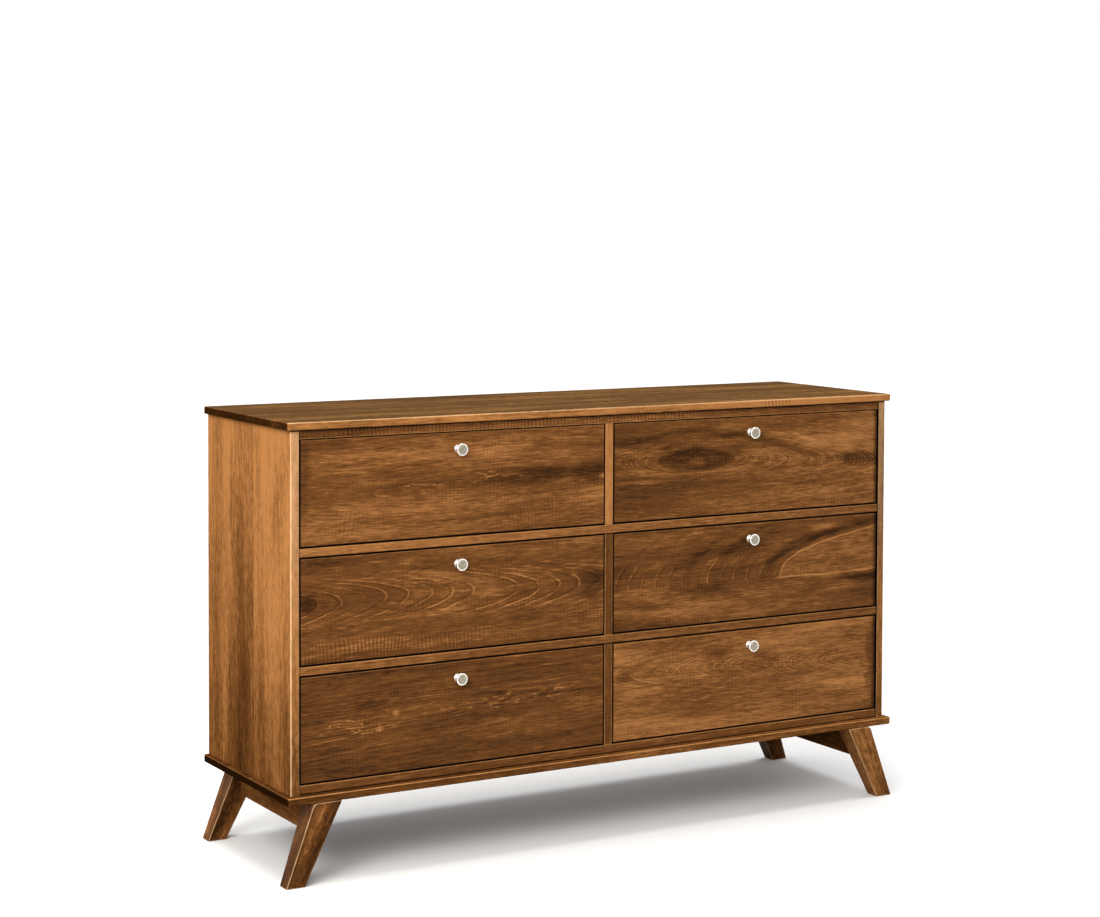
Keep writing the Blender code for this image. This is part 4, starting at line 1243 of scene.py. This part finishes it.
class DRESSER_OT_legs(Operator):
    """Model one splayed, tapered leg and copy it to the four corners."""

    bl_idname = "dresser.legs"
    bl_label = "Legs"
    bl_options = {"REGISTER", "UNDO"}

    def execute(self, context):
        """Make it."""
        sizes = context.scene.dresser_sizes
        low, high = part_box("base_board")
        outer_top = high.x - LEG_TOP_INSET
        outer_y = low.y + LEG_SETBACK
        middle_y = (low.y + high.y) / 2
        top = low.z - LEG_TOP_CLEARANCE
        leg = add_block("leg", Vector((outer_top - sizes.leg_top_width, outer_y, 0)),
                        Vector((outer_top, outer_y + sizes.leg_top_depth, top)))
        inner_step = sizes.leg_splay + sizes.leg_top_width - sizes.leg_foot_width
        middle_x = outer_top - sizes.leg_top_width / 2
        inside_y = outer_y + sizes.leg_top_depth / 2
        move_points(leg, lambda p: level(p.z, 0) and p.x > middle_x, (sizes.leg_splay, 0, 0))
        move_points(leg, lambda p: level(p.z, 0) and p.x < middle_x, (inner_step, 0, 0))
        move_points(leg, lambda p: level(p.z, 0) and p.y > inside_y,
                    (0, sizes.leg_foot_depth - sizes.leg_top_depth, 0))
        round_edges(leg, lambda a, b: level(a.z, top) and level(b.z, top) and level(a.x, outer_top)
                    and level(b.x, outer_top), sizes.leg_corner, LEG_CORNER_SEGMENTS)
        round_edges(leg, lambda a, b: True, sizes.leg_edge, RIM_SEGMENTS)
        for end_name, end in (("front", 1), ("back", -1)):
            for side_name, side in SIDES.items():
                self.place_leg(leg, end_name + "_" + side_name, side, end, middle_y, sizes, top)
        bpy.data.objects.remove(leg)
        return {"FINISHED"}

    def place_leg(self, leg, name, side, end, middle_y, sizes, top):
        """Copy the front right leg to one corner, mirrored where it has to be."""
        node = name + "_leg"
        copy = leg.copy()
        copy.data = leg.data.copy()
        copy.name = name + "_foot"
        copy.data.name = copy.name
        bpy.context.scene.collection.objects.link(copy)
        choose(copy)
        bpy.ops.object.mode_set(mode="EDIT")
        bpy.ops.mesh.select_all(action="SELECT")
        bpy.ops.transform.resize(value=(side, end, 1), center_override=(0, middle_y, 0))
        bpy.ops.mesh.remove_doubles(threshold=WELD_DISTANCE)
        bpy.ops.mesh.normals_make_consistent(inside=False)
        leave_edit()
        smooth(copy)
        mark_wear_and_highlight(copy)
        lean = sizes.leg_splay + (sizes.leg_top_width - sizes.leg_foot_width) / 2
        grain = Vector((-side * lean, 0, top))
        finish = stained_maple(name + "_leg_maple", board_of(node, grain, -Y), CASE_GRAIN[node],
                               worn=0.55, gloss=0.03)
        hand_over(copy, node, "case", finish)


class DRESSER_OT_aprons(Operator):
    """Model the aprons, whose ends follow the legs' taper."""

    bl_idname = "dresser.aprons"
    bl_label = "Aprons"
    bl_options = {"REGISTER", "UNDO"}

    def execute(self, context):
        """Make it."""
        sizes = context.scene.dresser_sizes
        base_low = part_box("base_board")[0]
        for name, side in SIDES.items():
            node = name + "_apron"
            low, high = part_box(node)
            apron = add_block(name + "_stretcher", low, high)
            taper = (sizes.leg_top_depth - sizes.leg_foot_depth) * (high.z - low.z) / base_low.z
            move_points(apron, lambda p: level(p.z, high.z) and p.y > 0, (0, -taper, 0))
            move_points(apron, lambda p: level(p.z, high.z) and p.y < 0, (0, taper, 0))
            round_edges(apron, lambda a, b: abs(a.y - b.y) > (high.y - low.y) / 2, sizes.apron_edge,
                        APRON_SEGMENTS)
            smooth(apron)
            mark_wear_and_highlight(apron)
            finish = stained_maple(name + "_apron_maple", board_of(node, Y, X * side),
                                   CASE_GRAIN[node], worn=0.4, rubbed="stain_thin_highlight", gloss=0.0)
            hand_over(apron, node, "case", finish)
        return {"FINISHED"}


class DRESSER_OT_face_frame(Operator):
    """Finish the rails and partitions."""

    bl_idname = "dresser.face_frame"
    bl_label = "Rails and partitions"
    bl_options = {"REGISTER", "UNDO"}

    def execute(self, context):
        """Make it."""
        for name in ("top", "upper", "lower", "bottom", "top_back"):
            node = name + "_rail"
            edges, shade_and_soak = (lower_edge_wear_highlight, top_rail_painted_shade) if name == "top" else (upper_edge_wear_highlight, under_painted_shade)
            dress(node, stained_maple(node + "_maple", board_of(node, X, -Y), CASE_GRAIN[node],
                                      worn=0.75, edge_width=0.0026, edges=edges, shade_and_soak=shade_and_soak,
                                      rubbed="stain_thin_highlight"))
        for name in ROWS:
            node = name + "_partition"
            dress(node, stained_maple(node + "_maple", board_of(node, Z, -Y), CASE_GRAIN[node],
                                      worn=0.75, edge_width=0.0026, shade_and_soak=slot_painted_shade,
                                      rubbed="stain_thin_highlight"))
        return {"FINISHED"}


class DRESSER_OT_drawer_fronts(Operator):
    """Finish the six drawer fronts, each with its own figure."""

    bl_idname = "dresser.drawer_fronts"
    bl_label = "Drawer fronts"
    bl_options = {"REGISTER", "UNDO"}

    def execute(self, context):
        """Make it."""
        for name, grain in FRONT_GRAIN.items():
            node = name + "_drawer_front"
            shade_and_soak = right_front_painted_shade if name.endswith("right") else left_front_painted_shade
            dress(node, stained_maple(name + "_front_maple", board_of(node, X, -Y), grain, worn=0.55,
                                      edge_width=0.0016, edges=upper_edge_wear_highlight, shade_and_soak=shade_and_soak,
                                      rubbed="stain_thin_highlight"))
        return {"FINISHED"}


class DRESSER_OT_drawer_boxes(Operator):
    """Finish the sides, backs and bottoms of the drawers."""

    bl_idname = "dresser.drawer_boxes"
    bl_label = "Drawer boxes"
    bl_options = {"REGISTER", "UNDO"}

    def execute(self, context):
        """Make it."""
        seed = 1.0
        for row in ROWS:
            for column in COLUMNS:
                drawer = row + "_" + column + "_drawer_"
                for name, side in SIDES.items():
                    node = drawer + name + "_side"
                    dress(node, clear_maple(node + "_maple", board_of(node, Y, X * side), seed))
                    seed += 1.0
                node = drawer + "back"
                dress(node, clear_maple(node + "_maple", board_of(node, X, Y), seed))
                node = drawer + "bottom"
                dress(node, birch_ply(node + "_ply", board_of(node, X, Z), seed, THIN_PLIES))
                seed += 1.0
        return {"FINISHED"}


class DRESSER_OT_inner_boards(Operator):
    """Finish the dust boards and the back panel."""

    bl_idname = "dresser.inner_boards"
    bl_label = "Dust boards and back"
    bl_options = {"REGISTER", "UNDO"}

    def execute(self, context):
        """Make it."""
        for number, row in enumerate(ROWS):
            node = row + "_dust_board"
            dress(node, birch_ply(node + "_ply", board_of(node, X, Z), DUST_BOARD_SEED + number,
                                  THICK_PLIES))
        dress("back_panel", birch_ply("back_panel_ply", board_of("back_panel", X, Y), BACK_SEED,
                                      THIN_PLIES))
        return {"FINISHED"}


class DRESSER_OT_knobs(Operator):
    """Turn one knob with its screw and copy it to the six drawers."""

    bl_idname = "dresser.knobs"
    bl_label = "Knobs"
    bl_options = {"REGISTER", "UNDO"}

    def execute(self, context):
        """Make it."""
        model = self.turn_knob()
        for row in ROWS:
            for column in COLUMNS:
                drawer = row + "_" + column + "_drawer"
                low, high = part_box(drawer + "_knob")
                axis = Vector(((low.x + high.x) / 2, low.y + KNOB_OUT, (low.z + high.z) / 2))
                knob = model.copy()
                knob.data = model.data.copy()
                knob.name = row + "_" + column + "_pull"
                knob.data.name = knob.name
                bpy.context.scene.collection.objects.link(knob)
                knob.data.transform(Matrix.Translation(axis))
                hand_over(knob, drawer + "_knob", drawer,
                          satin_nickel(knob.name + "_nickel", axis))
        bpy.data.objects.remove(model)
        return {"FINISHED"}

    def stations(self):
        """Radius and distance out, from the screw's head to the rim of the dished face."""
        back = -(FRONT_THICKNESS + SEAT_GAP)
        stem = KNOB_OUT - KNOB_RIM
        neck = NECK_PLACE * stem
        stations = [(SCREW_HEAD_RADIUS, back - SCREW_HEAD_THICKNESS), (SCREW_HEAD_RADIUS, back),
                    (SCREW_RADIUS, back), (SCREW_RADIUS, SEAT_GAP), (FOOT_RADIUS * 0.96, SEAT_GAP),
                    (FOOT_RADIUS, SEAT_GAP + FOOT_EASE), (FOOT_RADIUS, FOOT_EDGE)]
        for share in FLARE_SHARES:
            flare = (1 - share) ** FLARE_CURVE
            stations.append((NECK_RADIUS + (FOOT_RADIUS - NECK_RADIUS) * flare,
                             FOOT_EDGE + (neck - FOOT_EDGE) * share))
        for share in SWELL_SHARES:
            swell = 1 - math.cos(math.pi * share / 2)
            stations.append((NECK_RADIUS + (HEAD_BACK * KNOB_RADIUS - NECK_RADIUS) * swell,
                             neck + (stem - neck + HEAD_REACH * KNOB_RIM) * share))
        half = RIM_HALF * KNOB_RIM
        for step in range(1, RIM_STEPS + 1):
            angle = math.pi * (step / RIM_STEPS) - math.pi / 2
            stations.append(((RIM_MIDDLE + (1 - RIM_MIDDLE) * math.cos(angle)) * KNOB_RADIUS,
                             KNOB_OUT - half + half * math.sin(angle)))
        for share in DISH_SHARES:
            dip = KNOB_DISH * (1 - (share / RIM_MIDDLE) ** 2)
            stations.append((share * KNOB_RADIUS, KNOB_OUT - dip))
        return stations

    def turn_knob(self):
        """Extrude a ring from station to station about the Y axis."""
        stations = self.stations()
        radius, out = stations[0]
        deselect_all()
        bpy.ops.mesh.primitive_circle_add(vertices=KNOB_SEGMENTS, radius=radius, fill_type="NGON",
                                          location=(0, -out, 0), rotation=(math.pi / 2, 0, 0))
        knob = bpy.context.object
        apply_place(knob)
        bpy.ops.object.mode_set(mode="EDIT")
        bpy.ops.mesh.select_all(action="SELECT")
        for next_radius, next_out in stations[1:]:
            step = {"value": (0, out - next_out, 0)}
            bpy.ops.mesh.extrude_region_move(TRANSFORM_OT_translate=step)
            share = next_radius / radius
            bpy.ops.transform.resize(value=(share, 1, share), center_override=(0, -next_out, 0))
            radius, out = next_radius, next_out
        bpy.ops.mesh.select_all(action="SELECT")
        bpy.ops.mesh.normals_make_consistent(inside=False)
        leave_edit()
        choose(knob)
        bpy.ops.object.shade_smooth_by_angle(angle=math.radians(KNOB_SMOOTH))
        return knob


class DRESSER_OT_stage(Operator):
    """Set up the floor, the lights, the world and the camera."""

    bl_idname = "dresser.stage"
    bl_label = "Stage"
    bl_options = {"REGISTER", "UNDO"}

    def execute(self, context):
        """Make it."""
        self.floor()
        self.world()
        self.lights()
        self.camera()
        bpy.context.scene.view_settings.view_transform = "Standard"
        return {"FINISHED"}

    def floor(self):
        """A wide pale floor that keeps the object's shadow."""
        deselect_all()
        bpy.ops.mesh.primitive_plane_add(size=FLOOR_SIZE, location=(0, 0, 0))
        floor = bpy.context.object
        floor.name = "floor"
        colours = bpy.context.scene.dresser_colours
        material = bpy.data.materials.new("pale_floor")
        material.use_nodes = True
        material.node_tree.nodes.clear()
        sketch = Sketch(material.node_tree)
        seen = self.seen(sketch)
        colour = sketch.mix(seen, rgba(FLOOR_BOUNCE), rgba(colours.floor))
        diffuse = sketch.node("ShaderNodeBsdfDiffuse", {"Color": colour})
        sketch.node("ShaderNodeOutputMaterial", {"Surface": diffuse.outputs[0]})
        floor.data.materials.append(material)

    def seen(self, sketch):
        """1 for what the camera, a reflection or a view through glass sees, and 0 for soft light."""
        rays = sketch.node("ShaderNodeLightPath")
        seen = Number(sketch, rays.outputs["Is Camera Ray"]) + rays.outputs["Is Glossy Ray"]
        return seen.apply("ADD", rays.outputs["Is Transmission Ray"], clamp=True)

    def world(self):
        """Even light from all round, and white where the camera or a reflection sees it."""
        world = bpy.data.worlds.new("studio")
        bpy.context.scene.world = world
        world.use_nodes = True
        world.node_tree.nodes.clear()
        sketch = Sketch(world.node_tree)
        strength = self.seen(sketch) * (1.0 - AMBIENT) + AMBIENT
        back = sketch.node("ShaderNodeBackground", {"Color": (1, 1, 1, 1), "Strength": strength})
        sketch.node("ShaderNodeOutputWorld", {"Surface": back.outputs[0]})

    def lights(self):
        """Light from straight above for the shadow, and soft light from the front left."""
        for name, values in SUNS.items():
            self.sun(name, *values)
        for name, values in SOFTBOXES.items():
            self.softbox(name, *values)

    def sun(self, name, energy, angle, way):
        """A soft sun that shines from one direction."""
        light = bpy.data.lights.new(name, "SUN")
        light.energy = energy
        light.angle = math.radians(angle)
        self.aim(name, light, Vector(way) * SUN_DISTANCE, Vector((0, 0, 0)))

    def softbox(self, name, energy, size, place, target, colour):
        """A square softbox."""
        light = bpy.data.lights.new(name, "AREA")
        light.shape = "SQUARE"
        light.size = size
        light.energy = energy
        light.color = colour
        self.aim(name, light, Vector(place), Vector(target))

    def aim(self, name, light, place, target):
        """Hang a light at a place and point it at a target."""
        lamp = bpy.data.objects.new(name, light)
        bpy.context.scene.collection.objects.link(lamp)
        lamp.location = place
        lamp.rotation_euler = (target - place).to_track_quat("-Z", "Y").to_euler()

    def camera(self):
        """The camera at the photograph's place."""
        lens = bpy.data.cameras.new("camera")
        lens.sensor_width = CAMERA_SENSOR
        lens.lens = CAMERA_LENS
        lens.shift_x, lens.shift_y = CAMERA_SHIFT
        camera = bpy.data.objects.new("camera", lens)
        bpy.context.scene.collection.objects.link(camera)
        turn = Matrix.Rotation(math.radians(-CAMERA_YAW), 4, "Z")
        turn = turn @ Matrix.Rotation(math.radians(90 + CAMERA_PITCH), 4, "X")
        turn = turn @ Matrix.Rotation(math.radians(CAMERA_ROLL), 4, "Z")
        camera.matrix_world = Matrix.Translation(CAMERA_PLACE) @ turn
        bpy.context.scene.camera = camera


STEPS = (
    DRESSER_OT_stage,
    DRESSER_OT_top_board,
    DRESSER_OT_base_board,
    DRESSER_OT_side_panels,
    DRESSER_OT_legs,
    DRESSER_OT_aprons,
    DRESSER_OT_face_frame,
    DRESSER_OT_drawer_fronts,
    DRESSER_OT_drawer_boxes,
    DRESSER_OT_inner_boards,
    DRESSER_OT_knobs,
)


class DRESSER_PT_panel(Panel):
    """The dresser's steps, sizes and colours."""

    bl_idname = "DRESSER_PT_panel"
    bl_label = "Dresser"
    bl_space_type = "VIEW_3D"
    bl_region_type = "UI"
    bl_category = "Dresser"

    def draw(self, context):
        """List the steps, then the sizes and colours."""
        column = self.layout.column(align=True)
        for step in STEPS:
            column.operator(step.bl_idname)
        for group in (context.scene.dresser_sizes, context.scene.dresser_colours):
            box = self.layout.box()
            for name in group.bl_rna.properties.keys():
                if name not in ("rna_type", "name"):
                    box.prop(group, name)


CLASSES = (DresserSizes, DresserColours, *STEPS, DRESSER_PT_panel)


def register():
    """Add the dresser's classes to Blender."""
    for item in CLASSES:
        bpy.utils.register_class(item)
    bpy.types.Scene.dresser_sizes = PointerProperty(type=DresserSizes)
    bpy.types.Scene.dresser_colours = PointerProperty(type=DresserColours)


def unregister():
    """Take the dresser's classes out of Blender."""
    del bpy.types.Scene.dresser_colours
    del bpy.types.Scene.dresser_sizes
    for item in reversed(CLASSES):
        bpy.utils.unregister_class(item)


def main():
    """Make the dresser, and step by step."""
    register()
    for step in STEPS:
        group, name = step.bl_idname.split(".")
        getattr(getattr(bpy.ops, group), name)()


if __name__ == "__main__":
    main()
